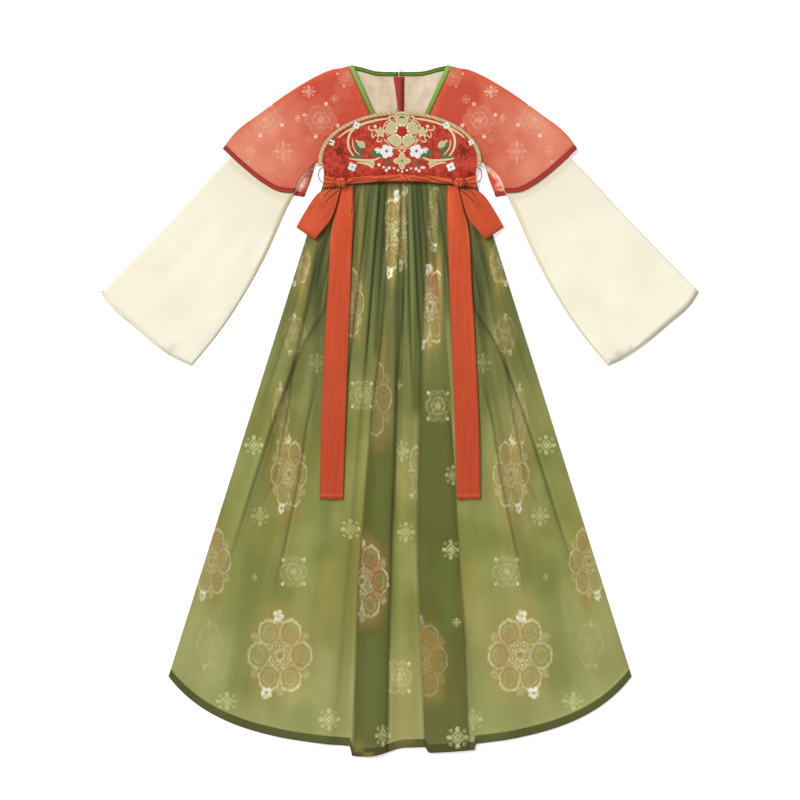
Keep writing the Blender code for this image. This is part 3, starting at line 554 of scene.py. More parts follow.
bm = bmesh.new()
bmesh.ops.create_grid(bm, x_segments=SKIRT_COLUMNS, y_segments=SKIRT_ROWS, size=0.5)
i, j = np.rint((points_of(bm)[:, :2] + 0.5) * (SKIRT_COLUMNS, SKIRT_ROWS)).astype(int).T
band = HEM_ALLOWANCE / (HEM_RADIUS - WAIST - APEX)
rows = np.concatenate([np.linspace(0.0, 1.0 - band - 0.001, SKIRT_ROWS + 1 - HEM_ROWS),
                       np.linspace(1.0 - band, 1.0, HEM_ROWS)])
column = 2.0 * i / SKIRT_COLUMNS - 1.0
fraction = rows[j]
in_hem = fraction > 1.0 - band - 0.0005
hang_left = smooth((column + 0.196) / 0.006) * (1.0 - smooth((column + 0.13) / 0.16))
hang_right = smooth((column - 0.103) / 0.006) * smooth((0.301 - column) / 0.006)
out, down = fan(column, fraction, LEFT_FOLD_DROP * hang_left + RIGHT_FOLD_DROP * hang_right)
x, y = place(out, down)
grid_column, grid_row = grid_of(x, y)
print(len(bm.verts), "places in the fan")

# %% [markdown]
# ## Shade and relief of the skirt
#
# A crease lowers the cloth along its line and lifts it just beside. Its painted shade, in the crease and on
# its shadow side, and a painted highlight on the lifted edge are kept on the points with the painted light
# and shade of the streaks, and so is where two layers of sheer cloth lie doubled, which look darker than
# one.

# %% Skirt shade and relief
doubled = np.zeros_like(x)
for first, last, begin in ((LEFT_FOLD_EDGE, LEFT_FOLD_END, 380), (RIGHT_FOLD_EDGE, RIGHT_FOLD_END, 345)):
    inside = smooth((grid_column - at_row(first, grid_row)) / 1.2)
    inside *= smooth((at_row(last, grid_row) - grid_column) / 1.2)
    doubled = np.maximum(doubled, inside * smooth((grid_row - begin) / 90))

light = np.ones_like(x)
golden = np.zeros_like(x)
tones = list(MIDDLE_TONES)
for places, wide, lighter, gold in SIDE_TONES:
    for side in (-1, 1):
        tones.append((beside_middle(places, side), wide, lighter, gold))
# Each streak paints light or shade into the skirt's tone, with a golden or green tint
for places, wide, lighter, gold in tones:
    beyond = np.maximum(places[0][1] - grid_row, grid_row - places[-1][1])
    near = smooth(1.0 - beyond / 22) * np.exp(-((grid_column - at_row(places, grid_row)) / wide) ** 4)
    light *= 1.0 + lighter * near
    golden = np.clip(golden + gold * near, -1.0, 1.0)

relief = DOUBLED_RAISED * doubled
for places, width, shade, shadow in creases:
    rows_of = [place[1] for place in places]
    run = (grid_row - rows_of[0]) / (rows_of[-1] - rows_of[0])
    strength = smooth((run + 0.02) / 0.12) * np.where(rows_of[-1] > 745, 1.0, smooth((1.0 - run) / 0.35))
    strength = strength * (run > -0.05)
    beside = (grid_column - at_row(places, grid_row)) * PIXEL * 1000 / width
    # Painted shade in the crease and on its shadow side, and a painted highlight on the lifted edge beside
    # it
    core = np.exp(-beside**2)
    dark = core + 0.45 * np.exp(-np.abs(beside) / 5.0) * (beside * shadow > 0)
    ridge_highlight = np.exp(-((beside + 2.4 * (shadow or 1)) / 1.6) ** 2)
    light *= 1.0 - shade * strength * np.minimum(dark, 1.0)
    light *= 1.0 + 0.16 * shade * strength * ridge_highlight
    relief = relief + CREASE_DEPTH * shade * strength * (ridge_highlight - core)
print("relief from", round(1000 * relief.min(), 2), "to", round(1000 * relief.max(), 2), "mm")

# %% [markdown]
# ## The sheet itself
#
# Each point takes the height of the CAD skirt, smoothed between neighbours, and the relief on top. Two UV
# maps go with it: one for the print, and one for the streaks of painted shade and bump that run down the
# fan.

# %% Skirt sheet
# Heights are read a little inside the outline of the CAD skirt, where a ray is sure to hit it
tested = fan(column * 0.998, np.minimum(fraction, 0.975))
skirt_cad = copied("skirt_front")
skirt_top = surface_of(skirt_cad)
z = np.array([height_on(skirt_top, a, b, SKIRT_MISSED) for a, b in zip(*place(*tested))])
skirt_cad.free()
sheet_z = np.zeros((SKIRT_COLUMNS + 1, SKIRT_ROWS + 1))
sheet_z[i, j] = z
for _ in range(3):
    padded = np.pad(sheet_z, 1, mode="edge")
    sheet_z = (2 * padded[1:-1, 1:-1] + padded[2:, 1:-1] + padded[:-2, 1:-1]
               + padded[1:-1, 2:] + padded[1:-1, :-2]) / 6
margin = smooth((1.0 - np.abs(column)) / 0.03)
z = np.maximum(sheet_z[i, j] + relief * margin + HEM_RAISED * in_hem, SKIRT_LOWEST)

for vert, spot in zip(bm.verts, zip(x, y, z)):
    vert.co = spot
for name, values in (("shade", light), ("golden", golden), ("doubled", doubled), ("hem", in_hem)):
    mark(bm, name, values)
bm.verts.index_update()
print_uv = bm.loops.layers.uv.new("print")
fan_uv = bm.loops.layers.uv.new("fan")
for face in bm.faces:
    spot_column, spot_row = grid_of(*face.calc_center_median().xy)
    layer = 0
    for number, (first, last, begin, end) in enumerate(PRINT_STRIPS, 1):
        if begin < spot_row < end and at_row(first, spot_row) < spot_column < at_row(last, spot_row):
            layer = number
    for loop in face.loops:
        n = loop.vert.index
        loop[print_uv].uv = (x[n] + PRINT_LAYER * layer, y[n])
        loop[fan_uv].uv = (column[n], fraction[n])
bmesh.ops.translate(bm, verts=lower_side(bm), vec=(0.0, 0.0, -CHIFFON_THICK))
bmesh.ops.recalc_face_normals(bm, faces=bm.faces)
skirt_mesh = bm
print("skirt sheet:", len(bm.verts), "points, highest", round(1000 * float(z.max()), 1), "mm")

# %% [markdown]
# ## The print
#
# The chiffon is screen printed with roundels, small diamonds and snow rounds in pale gold, white and red.
# These are ordinary ornaments of the style, drawn here from circles and folded angles. For every point the
# nearest motif of a kind is found first, so one set of nodes draws them all, whatever their size.

# %% Motif helpers


def nearest(where, motifs):
    """Where a point lies in the closest motif, x and y from -1 to 1. z carries its strength and red."""
    best = spot = None
    for px, py, wide, tall, strength, red, layer in motifs:
        x, y = seen(px, py)
        x += PRINT_LAYER * layer
        across, up = 1 / (wide * PIXEL), 1 / (tall * PIXEL)
        code = 0.001 * (round(10 * strength) + red)
        local = add("VectorMath", where, (across, up, 0.0), (-x * across, -y * up, code),
                    operation="MULTIPLY_ADD")
        far = add("VectorMath", local, operation="LENGTH")
        if best is None:
            best, spot = far, local
            continue
        closer = add("Math", far, best, operation="LESS_THAN")
        spot = add("Mix", closer, data_type="VECTOR", at={4: spot, 5: local})
        best = add("Math", far, best, operation="MINIMUM")
    return spot, best


def strength_of(spot, *shares):
    """How strongly the motif at a spot is printed, from the code that nearest left in z."""
    return weaker(add("SeparateXYZ", spot).outputs[2], 100.0, *shares)


def folded(spot, count, turn):
    """The spot folded about the centre, so that all of count petals lie on one that points along x."""
    parts = add("SeparateXYZ", spot)
    angle = add("Math", parts.outputs[1], parts.outputs[0], operation="ARCTAN2")
    turned = add("Math", angle, turn + math.pi / count, operation="ADD")
    sector = add("Math", turned, 2 * math.pi / count, operation="FLOORED_MODULO")
    off = add("Math", sector, math.pi / count, operation="SUBTRACT")
    flat = add("VectorMath", spot, (1.0, 1.0, 0.0), operation="MULTIPLY")
    far = add("VectorMath", flat, operation="LENGTH")
    along = add("Math", far, add("Math", off, operation="COSINE"), operation="MULTIPLY")
    across = add("Math", far, add("Math", off, operation="SINE"), operation="MULTIPLY")
    return add("CombineXYZ", along, across, 0.0)


def line(distance, radius, width):
    """1 where the distance is this radius, fading to 0 a width away."""
    off = add("Math", distance, radius, operation="SUBTRACT")
    near = add("Math", off, operation="ABSOLUTE")
    return add("MapRange", near, width, 0.0, 0.0, 1.0, interpolation_type="SMOOTHSTEP")


def dot(spot, centre, radius):
    """1 within about half the radius of a place, fading to 0 at the radius."""
    far = add("VectorMath", spot, centre, operation="DISTANCE")
    return add("MapRange", far, radius, radius * 0.4, 0.0, 1.0, interpolation_type="SMOOTHSTEP")


print("motif helpers ready")

# %% Motifs


def blossom(flat, away, turn):
    """A blossom of five dots, away from the middle of a motif."""
    return dot(folded(add("VectorMath", flat, away, operation="SUBTRACT"), 5, turn), (0.10, 0.0, 0.0), 0.095)


def roundel(spot):
    """Six scalloped petals round a small flower, with two sprays of blossom: gold, white and red masks."""
    rough = add("TexNoise", spot, None, 5.0, 2.0, 0.5).outputs["Color"]
    drift = add("VectorMath", rough, (0.12, 0.12, 0.0), (-0.06, -0.06, 0.0), operation="MULTIPLY_ADD")
    spot = add("VectorMath", spot, drift, operation="ADD")
    petal, between, ring = folded(spot, 6, 0.0), folded(spot, 6, math.pi / 6), folded(spot, 8, 0.3)
    own = add("VectorMath", petal, (0.62, 0.0, 0.0), operation="SUBTRACT")
    parts = add("SeparateXYZ", own)
    round_petal = add("Math", parts.outputs[1], parts.outputs[0], operation="ARCTAN2")
    lobes = add("Math", weaker(round_petal, 7.0), operation="COSINE")
    scallop = add("Math", lobes, 0.025, 1.0, operation="MULTIPLY_ADD")
    edge = weaker(add("VectorMath", own, operation="LENGTH"), scallop)
    outer = add("MapRange", parts.outputs[0], -0.25, 0.1, 0.45, 1.0)
    flat = add("VectorMath", spot, (1.0, 1.0, 0.0), operation="MULTIPLY")
    centre = add("VectorMath", flat, operation="LENGTH")
    ring_edge = add("VectorMath", ring, (0.24, 0.0, 0.0), operation="DISTANCE")
    gold = strongest(
        weaker(line(edge, 0.30, 0.065), outer),
        weaker(line(edge, 0.17, 0.05), 0.35),
        weaker(line(ring_edge, 0.10, 0.045), 0.8),
        weaker(line(centre, 0.11, 0.05), 0.7),
        weaker(dot(between, (0.86, 0.0, 0.0), 0.16), 0.45),
        weaker(add("MapRange", edge, 0.30, 0.22, 0.0, 1.0), 0.10),
    )
    white = strongest(weaker(dot(ring, (0.24, 0.0, 0.0), 0.06), 0.5), blossom(flat, (-0.05, 0.92, 0.0), 0.0),
                      blossom(flat, (-0.40, -0.90, 0.0), 0.5))
    red = strongest(dot(between, (0.62, 0.0, 0.0), 0.30), dot(petal, (0.36, 0.0, 0.0), 0.16))
    toward = add("VectorMath", flat, (0.8, 0.35, 0.0), operation="DOT_PRODUCT")
    return gold, white, weaker(red, add("MapRange", toward, -0.1, 0.4, 0.0, 1.0))


def diamond(spot):
    """Two nested diamonds with buds at the tips and dots between."""
    whole = add("VectorMath", spot, operation="ABSOLUTE")
    reach = add("VectorMath", whole, (1.0, 1.0, 0.0), operation="DOT_PRODUCT")
    tips, sides = folded(spot, 4, 0.0), folded(spot, 4, math.pi / 4)
    ringlet = add("VectorMath", sides, (0.86, 0.0, 0.0), operation="DISTANCE")
    return strongest(
        line(reach, 0.64, 0.16),
        weaker(add("MapRange", reach, 0.68, 0.58, 0.0, 1.0), 0.4),
        dot(tips, (0.20, 0.0, 0.0), 0.22),
        dot(tips, (0.78, 0.0, 0.0), 0.30),
        weaker(line(ringlet, 0.12, 0.10), 0.8),
    )


def snow_round(spot, turn):
    """A six-petalled flower outline round a soft centre, with four bright dots; turn sets where they lie."""
    star = folded(spot, 6, 0.0)
    petal = add("VectorMath", star, (0.56, 0.0, 0.0), operation="DISTANCE")
    inner = add("VectorMath", star, (0.30, 0.0, 0.0), operation="DISTANCE")
    ring = strongest(
        weaker(line(petal, 0.34, 0.11), 0.55),
        weaker(line(petal, 0.19, 0.09), 0.35),
        weaker(line(inner, 0.20, 0.10), 0.75),
        weaker(dot(spot, (0.0, 0.0, 0.0), 1.3), 0.12),
        dot(star, (0.0, 0.0, 0.0), 0.30),
    )
    return ring, dot(folded(spot, 4, turn), (1.02, 0.0, 0.0), 0.15)


print("roundel, diamond and snow round ready")

# %% [markdown]
# ## Where the motifs lie
#
# The printed cloth is gathered, so the roundels look narrow near the waist and whole near the hem. Each
# one is a row of numbers: its place on the grid, half width, half height, strength, red, and the layer of
# cloth that it is on, where 1 and 2 are the doubled folds.

# %% Motif places
SIDE_ROUNDELS = [
    (280, 655, 34, 42, 0.8, 0.35, 0), (289, 474, 19, 38, 0.7, 0.2, 0), (211, 561, 21, 38, 0.6, 0.3, 0),
    (281, 416, 9, 32, 0.35, 0.0, 0), (299, 262, 12, 24, 0.5, 0.2, 0), (295, 335, 12, 20, 0.4, 0.0, 0),
    (210, 645, 14, 24, 0.25, 0.0, 0),
]
MIDDLE_ROUNDELS = [
    (362, 581, 28, 42, 0.9, 0.6, 1), (421, 660, 28, 42, 0.3, 0.9, 2), (398, 235, 22, 42, 0.9, 0.5, 3),
    (407, 228, 16, 42, 0.6, 0.6, 4), (430, 307, 22, 42, 0.9, 0.9, 5), (347, 303, 18, 40, 0.6, 0.3, 0),
    (369, 398, 24, 44, 0.5, 0.5, 1), (424, 482, 22, 42, 0.9, 0.0, 6), (441, 217, 18, 34, 0.5, 0.0, 7),
]
SIDE_DIAMONDS = [
    (254, 445, 10, 10, 0.8, 0, 0), (260, 516, 9, 10, 0.6, 0, 0), (227, 701, 11, 9, 0.7, 0, 0),
    (254.7, 577, 2.4, 4, 0.9, 0, 0), (317, 363, 8, 10, 0.5, 0, 0),
]
MIDDLE_DIAMONDS = [
    (350.5, 529, 10, 10, 0.8, 0, 0), (405.8, 532, 9, 10, 0.7, 0, 0), (450.8, 549.5, 9, 10, 0.9, 0, 2),
    (453, 475, 8, 10, 0.8, 0, 2), (401.5, 451, 8, 11, 0.7, 0, 0), (329.3, 719, 11, 11, 0.8, 0, 0),
    (473, 719, 10, 11, 0.6, 0, 0), (383, 735, 8, 11, 0.8, 0, 0), (457.5, 737, 11, 11, 0.9, 0, 2),
    (456.5, 622, 4.5, 4.5, 0.9, 0, 2), (399, 385, 4.0, 5.0, 0.7, 0, 0), (383, 735, 8, 11, 0.8, 0, 1),
]
SIDE_SNOW = [(293.5, 571.5, 15, 17, 0.7, 0, 0)]
MIDDLE_SNOW = [
    (362, 395, 13, 16, 0.7, 0, 0), (438, 406, 13.5, 18, 0.8, 0, 2), (399, 677, 14, 19, 0.8, 0, 0),
]


def both_sides(motifs):
    """The motifs and their mirror images."""
    return motifs + [(2 * CENTRE_COLUMN - px, py, -wide, *rest) for px, py, wide, *rest in motifs]


print(len(both_sides(SIDE_ROUNDELS) + MIDDLE_ROUNDELS), "roundels,",
      len(both_sides(SIDE_DIAMONDS) + MIDDLE_DIAMONDS), "diamonds and",
      len(both_sides(SIDE_SNOW) + MIDDLE_SNOW), "snow rounds")

# %% [markdown]
# ## Green chiffon
#
# Silk-like polyester chiffon: sheer, dry and almost without shine, dyed in cloudy greens. It is lighter
# where one layer lies on the white table and darker where layers meet, and painted shade and highlights of
# the creases and streaks make it lighter and darker. The yarns are 0.3 mm apart, too fine to show here, so
# the weave is drawn at 2.4 mm, very faintly.

# %% Green chiffon
chiffon = material("printed_green_chiffon", 0.85, 0.05)
fan_place, print_place = (add("UVMap", uv_map=name) for name in ("fan", "print"))
shade, warmth, deep, turned_up = (add("Attribute", attribute_name=name).outputs["Fac"]
                                  for name in ("shade", "golden", "doubled", "hem"))
drawn = add("VectorMath", fan_place, (15.0, 1.3, 0.0), operation="MULTIPLY")
streak = add("TexNoise", drawn, None, 1.0, 3.0, 0.55)
cloud = add("TexNoise", object_place, None, 8.0, 2.0, 0.5)
cloud = add("MapRange", cloud, 0.38, 0.62, 0.0, 1.0, interpolation_type="SMOOTHSTEP")
fallen = add("SeparateXYZ", fan_place).outputs[1]
low = add("MapRange", fallen, 0.70, 0.97, 0.0, 0.38, interpolation_type="SMOOTHSTEP")
high = add("MapRange", fallen, 0.0, 0.62, 1.0, 0.0, interpolation_type="SMOOTHSTEP")
colour = painted("#80823f", (cloud, "#949555"), (low, "#a9ab74"), (high, "#60673a"),
                 (weaker(deep, 0.85), "#585b27"), (weaker(turned_up, 0.9), "#494a22"),
                 (weaker(warmth, 0.62), "#96803f"), (weaker(warmth, -0.55), "#6f8240"))
# Painted light and shade: streaks down the fan make the colour lighter and darker, most near the waist
painted_streak_shade = add("MapRange", streak, 0.3, 0.7, -1.0, 1.0)
painted_streak_depth = add("MapRange", high, 0.0, 1.0, 0.05, 0.20)
painted_streak_shade = add("Math", painted_streak_shade, painted_streak_depth, 1.0, operation="MULTIPLY_ADD")

wear = add("TexNoise", object_place, None, 160.0, 2.0, 0.6)
wear = add("MapRange", wear, 0.35, 0.6, 0.35, 1.0)
spot, far = nearest(print_place, both_sides(SIDE_ROUNDELS) + MIDDLE_ROUNDELS)
gold, white, red = roundel(spot)
code = weaker(add("SeparateXYZ", spot).outputs[2], 1000.0)
strength = weaker(add("Math", code, operation="FLOOR"), 0.1, wear)
redness = weaker(add("Math", code, operation="FRACT"), strength)
halo = add("MapRange", far, 1.45, 0.75, 0.0, 0.60, interpolation_type="SMOOTHSTEP")
colour = painted(colour, (weaker(halo, strength), "#a08344"), (weaker(gold, strength), "#d3d2a2"),
                 (weaker(white, strength), "#eeeed8"), (weaker(red, redness), "#a84a2c"))
spot, _ = nearest(print_place, both_sides(SIDE_DIAMONDS) + MIDDLE_DIAMONDS)
colour = painted(colour, (weaker(diamond(spot), strength_of(spot, wear)), "#c9cb8e"))
spot, _ = nearest(print_place, both_sides(SIDE_SNOW) + MIDDLE_SNOW)
strength = strength_of(spot, wear)
ring, bright = snow_round(spot, math.pi / 4)
colour = painted(colour, (weaker(ring, strength), "#c9c68c"), (weaker(bright, strength), "#eeeccb"))
# The colour is scaled by the painted streak shade and by the painted crease shade and highlights on the
# points
dye(colour, weaker(painted_streak_shade, shade))
weave(0.0024, 0.0002, weaker(streak, 0.0012))
print("green chiffon:", len(tree.nodes), "nodes")

keep("skirt_front_cloth", skirt_mesh, chiffon, "green_chiffon", "skirt_front")

# %% [markdown]
# ## Edges that a finish can follow
#
# Seams, folds and the band of a hem run along the outline of a piece. So that a material can follow them,
# each point of a copied piece keeps its distance from the outline, or from a line of the pattern.

# %% Distances kept on the points


def distance_to(line_points, x, y):
    """Distance of each point from a line of points, and how far along the line its nearest place is."""
    line_points = np.asarray(line_points, float)
    start, step = line_points[:-1], np.diff(line_points, axis=0)
    right, up = x[:, None] - start[:, 0], y[:, None] - start[:, 1]
    share = np.clip((right * step[:, 0] + up * step[:, 1]) / (step**2).sum(axis=1), 0.0, 1.0)
    far = np.hypot(right - share * step[:, 0], up - share * step[:, 1])
    best = far.argmin(axis=1)
    pick = np.arange(len(x))
    return far[pick, best], (best + share[pick, best]) / len(start)


def outline_of(bm):
    """The outline as seen from above: edges between a face that looks up and one that doesn't."""
    found = []
    for edge in bm.edges:
        if len(edge.link_faces) == 2:
            up = [face.normal.z > 0.35 for face in edge.link_faces]
            if up[0] != up[1]:
                found.append([edge.verts[0].co.xy, edge.verts[1].co.xy])
    return found


def edge_distance(bm, outline):
    """Distance of each point of a bmesh from an outline given as pairs of places."""
    x, y, _ = points_of(bm).T
    best = np.full(len(x), 1.0)
    for pair in outline:
        best = np.minimum(best, distance_to(pair, x, y)[0])
    return best


def softened(node, levels, ripple, size, seed, corner=math.radians(40)):
    """A subdivided copy of a node with slight waves in its cloth and the distance from its outline."""
    rough = copied(node)
    outline = outline_of(rough)
    bm = subdivided(rough, levels, corner)
    x, y, z = points_of(bm).T
    set_heights(bm, z + ripple * waves(x, y, seed, size))
    mark(bm, "seam", edge_distance(bm, outline))
    return bm


print("edge helpers ready")

# %% [markdown]
# ## Short outer sleeves
#
# The yoke and the short sleeve are one piece of coral chiffon on each side. It is sheer: over the bodice it
# looks deep coral, over the cream sleeve paler, and where it is folded at the shoulder the colour is
# strongest. Small flowers, a square and a diamond are printed on it in cream.

# %% Coral chiffon
CAPE_SNOW = [
    (321.2, 120.6, 17, 17, 0.8, 0, 0), (265.7, 120.6, 17, 16, 0.8, 0, 0), (347, 77, 10, 10, 0.7, 0, 0),
]
CAPE_DIAMONDS = [
    (308.8, 91.8, 7, 6, 0.9, 0, 0), (334, 99.5, 4.5, 4.5, 0.5, 0, 0), (251.4, 151.7, 5, 6, 0.5, 0, 0),
    (297.8, 118.6, 3, 4, 0.8, 0, 0), (309.7, 140, 5, 5, 0.3, 0, 0), (248.5, 161.7, 1.6, 1.6, 0.9, 0, 0),
    (338, 126.3, 1.6, 1.6, 0.9, 0, 0), (269, 104, 4, 3, 0.4, 0, 0),
]
CAPE_SQUARE = [(283.4, 151.7, 8, 9, 0.8, 0, 0)]

coral = material("printed_coral_chiffon", 0.85, 0.2)
outward = add("SeparateXYZ", add("VectorMath", object_place, operation="ABSOLUTE"))
paler = add("MapRange", outward.outputs[0], 0.085, 0.262, 0.0, 1.0, interpolation_type="SMOOTHSTEP")
cloud = add("TexNoise", object_place, None, 16.0, 3.0, 0.55)
cloud = add("MapRange", cloud, 0.36, 0.64, -0.30, 0.20)
paler = add("Math", paler, cloud, operation="ADD", use_clamp=True)
seam = add("Attribute", attribute_name="seam").outputs["Fac"]
folded_edge = add("MapRange", seam, 0.0, 0.012, 0.75, 0.0, interpolation_type="SMOOTHSTEP")
shoulder = add("MapRange", add("SeparateXYZ", object_place).outputs[1], 0.40, 0.47, 0.0, 1.0)
colour = painted("#c94e37", (paler, "#e58c70"), (weaker(folded_edge, shoulder), "#df5c38"))
wear = add("TexNoise", object_place, None, 180.0, 2.0, 0.6)
wear = add("MapRange", wear, 0.35, 0.6, 0.45, 1.0)
spot, far = nearest(object_place, both_sides(CAPE_SNOW))
strength = strength_of(spot, wear)
ring, bright = snow_round(spot, 0.3)
halo = add("MapRange", far, 1.1, 0.2, 0.0, 0.35, interpolation_type="SMOOTHSTEP")
colour = painted(colour, (weaker(halo, strength), "#dba184"), (weaker(ring, 0.75, strength), "#ecb593"),
                 (weaker(bright, strength), "#fbe9d8"))
spot, _ = nearest(object_place, both_sides(CAPE_DIAMONDS))
colour = painted(colour, (weaker(diamond(spot), strength_of(spot, 0.85, wear)), "#f0c9a6"))
spot, _ = nearest(object_place, both_sides(CAPE_SQUARE))
corner = add("SeparateXYZ", add("VectorMath", spot, operation="ABSOLUTE"))
reach = add("Math", corner.outputs[0], corner.outputs[1], operation="MAXIMUM")
square = strongest(weaker(line(reach, 0.8, 0.14), 0.6), diamond(spot),
                   dot(folded(spot, 4, 0.0), (1.13, 0.0, 0.0), 0.2))
dye(painted(colour, (weaker(square, 0.6, wear), "#efb998")))
weave(0.0024, 0.0002)
print("coral chiffon:", len(tree.nodes), "nodes")

# %% [markdown]
# ## Under the short sleeves
#
# The back yoke shows only past the front one, as a narrow strip at the underarm. There the light comes
# through a single layer, so a pale crescent lies beside the front edge.

# %% Front and back yokes
UNDERARM_FRONT = [(0.1330, 0.1540), (0.1455, 0.1655), (0.1600, 0.1810), (0.1685, 0.2050)]
single = material("single_coral_chiffon", 0.85, 0.2)
grain = add("TexNoise", object_place, None, 90.0, 3.0, 0.6)
grain = add("MapRange", grain, 0.3, 0.7, 0.7, 1.15)
thin = add("Attribute", attribute_name="thin").outputs["Fac"]
thin = add("Math", thin, grain, operation="MULTIPLY", use_clamp=True)
dye(painted("#d8482c", (thin, "#ffdcc8")))
weave(0.0024, 0.0002)

for seed, (word, side) in enumerate(SIDES):
    bm = softened("cape_front_" + word, 2, 0.0003, 0.06, seed)
    keep("short_sleeve_front_" + word, bm, coral, "coral_chiffon", "cape_front_" + word)
    bm = softened("cape_back_" + word, 2, 0.0, 0.06, seed)
    x, y, _ = points_of(bm).T
    edge = [place(out, down, side) for out, down in UNDERARM_FRONT]
    beside, along = distance_to(route(edge, np.linspace(0, 1, 30)), x, y)
    mark(bm, "thin", smooth((0.0085 - beside) / 0.003) * smooth(along * 4.0) * smooth((1.0 - along) * 6.0))
    keep("short_sleeve_back_" + word, bm, single, "coral_chiffon", "cape_back_" + word)
    print("short sleeve", word)

# %% [markdown]
# ## Bindings
#
# Bias tape is folded over each raw edge and sewn down. It is 7 mm wide and rounded by its folds, with
# painted shade along the folds and a painted highlight along its middle. Cotton sateen tape has short
# diagonal threads because it is cut on the bias.

# %% Bias bindings


def bias_tape(name, fold_shade_hex, highlight_hex, top_hex=None):
    """Cotton bias tape: painted shade along both folds and a painted highlight along the middle, diagonal
    threads and a slight unevenness.
    """
    made = material(name, 0.7, 0.25)
    seam = add("Attribute", attribute_name="seam").outputs["Fac"]
    # Painted shade along both folds of the tape and a painted highlight along its middle
    middle = add("MapRange", seam, 0.0006, 0.0026, 0.0, 1.0, interpolation_type="SMOOTHSTEP")
    grain = add("TexNoise", object_place, None, 120.0, 2.0, 0.5)
    grain = add("MapRange", grain, 0.3, 0.7, 0.6, 1.1)
    middle = add("Math", middle, grain, operation="MULTIPLY", use_clamp=True)
    colour = painted(fold_shade_hex, (middle, highlight_hex))
    if top_hex:
        high = add("MapRange", add("SeparateXYZ", object_place).outputs[1], 0.48, 0.55, 0.0, 1.0)
        colour = painted(colour, (high, top_hex))
    dye(colour)
    yarns = add("TexWave", object_place, threads_apart(0.0018), 0.5, 1.0, bands_direction="DIAGONAL")
    emboss(yarns.outputs["Fac"], 0.5, 0.0002)
    return made


red_tape = bias_tape("red_sateen_bias_tape", "#8c1d14", "#b8362a")
green_tape = bias_tape("green_sateen_bias_tape", "#5f8430", "#7b9f42", "#86ba50")
# The back neck binding shows the green tape's wrong side, and its darker green is partly painted shade
wrong_side_shaded_tape = bias_tape("green_sateen_bias_tape_wrong_side_painted_shade", "#435a14", "#648424")
for word, _ in SIDES:
    for node, finish, slot in (
        ("cape_binding_front_", red_tape, "red_binding"),
        ("cape_binding_back_", red_tape, "red_binding"),
        ("neck_binding_front_", green_tape, "green_binding"),
        ("neck_binding_back_", wrong_side_shaded_tape, "olive_binding"),
    ):
        bm = softened(node + word, 2, 0.0, 0.05, 1)
        keep(node.replace("cape", "sleeve") + "tape_" + word, bm, finish, slot, node + word)
print("8 bindings")

# %% [markdown]
# ## Long sleeves
#
# Each long sleeve is a flat tube of cream voile. Where the lower layer shows past the upper one, along the
# underarm and the cuff, the cloth looks greyer, and so does the lining's hem just below the short sleeve.

# %% Cream sleeves
SLEEVE_UNDER = [(0.1345, 0.1500), (0.1456, 0.1680), (0.1744, 0.2160), (0.2160, 0.3080), (0.2496, 0.3690),
                (0.2880, 0.4270), (0.3328, 0.4816)]
CUFF = [(0.4784, 0.3632), (0.4640, 0.3870), (0.4384, 0.4080), (0.3936, 0.4465), (0.3680, 0.4655),
        (0.3328, 0.4816)]
CAPE_HEM_FRONT = [(0.2830, 0.1345), (0.250, 0.1650), (0.221, 0.1880), (0.189, 0.2045), (0.1685, 0.2050)]

# Voile: a fine matt plain weave, sheer enough that one layer is whiter than two
voile = material("cream_cotton_voile", 0.9, 0.1)
cloud = add("TexNoise", object_place, None, 14.0, 3.0, 0.5)
cloud = add("MapRange", cloud, 0.35, 0.65, 0.0, 1.0)
near_top = add("Attribute", attribute_name="below_sleeve").outputs["Fac"]
edge = add("Attribute", attribute_name="lower_layer").outputs["Fac"]
dull = add("MapRange", near_top, 0.10, 0.0, 0.0, 0.8, interpolation_type="SMOOTHSTEP")
hem_in = add("MapRange", near_top, 0.0, 0.005, 0.0, 1.0)
hem_out = add("MapRange", near_top, 0.0085, 0.0145, 1.0, 0.0, interpolation_type="SMOOTHSTEP")
edge = add("MapRange", edge, 1.05, 0.85, 0.0, 0.85)
spot = add("SeparateXYZ", add("VectorMath", object_place, operation="ABSOLUTE"))
beside = add("MapRange", spot.outputs[0], 0.179, 0.176, 0.0, 1.0)
above = add("MapRange", spot.outputs[1], 0.3465, 0.3485, 0.0, 1.0)
dye(painted("#f5ecd8", (cloud, "#f8f4dc"), (dull, "#efe6cf"), (weaker(hem_in, hem_out, 0.7), "#e3dabb"),
            (edge, "#dcd6b4"), (weaker(beside, above), "#ffc9ae")))
weave(0.0022, 0.0001)

for seed, (word, side) in enumerate(SIDES):
    bm = softened("sleeve_" + word, 2, 0.0004, 0.09, seed + 3)
    x, y, _ = points_of(bm).T
    (underarm, along), (cuff, _), (top, _) = (
        distance_to([place(*spot, side) for spot in route(points, np.linspace(0.0, 1.0, 60))], x, y)
        for points in (SLEEVE_UNDER, CUFF, CAPE_HEM_FRONT)
    )
    mark(bm, "lower_layer", np.minimum(underarm / (0.0085 - 0.0055 * along), cuff / 0.0030))
    mark(bm, "below_sleeve", top)
    keep("long_sleeve_" + word, bm, voile, "cream_sleeve", "sleeve_" + word)
    print("long sleeve", word)

# %% [markdown]
# ## Neck and back opening
#
# Inside the neck the nude lining of the back shows, with a red placket below the opening and a bent wire
# hook above it. The lining is soft and matt and lies in slight upright waves.

# %% Back lining, placket and hook
lining = material("nude_tricot_lining", 0.9, 0.15)
drawn = add("VectorMath", object_place, (60.0, 9.0, 1.0), operation="MULTIPLY")
streak = add("TexNoise", drawn, None, 1.0, 2.0, 0.5)
cloud = add("TexNoise", object_place, None, 55.0, 3.0, 0.6)
blend = add("MapRange", add("Math", streak, cloud, operation="ADD"), 0.75, 1.25, 0.0, 1.0)
dye(painted("#cfb797", (blend, "#e6d4ba")))
weave(0.0020, 0.0002, weaker(streak, 0.0015))

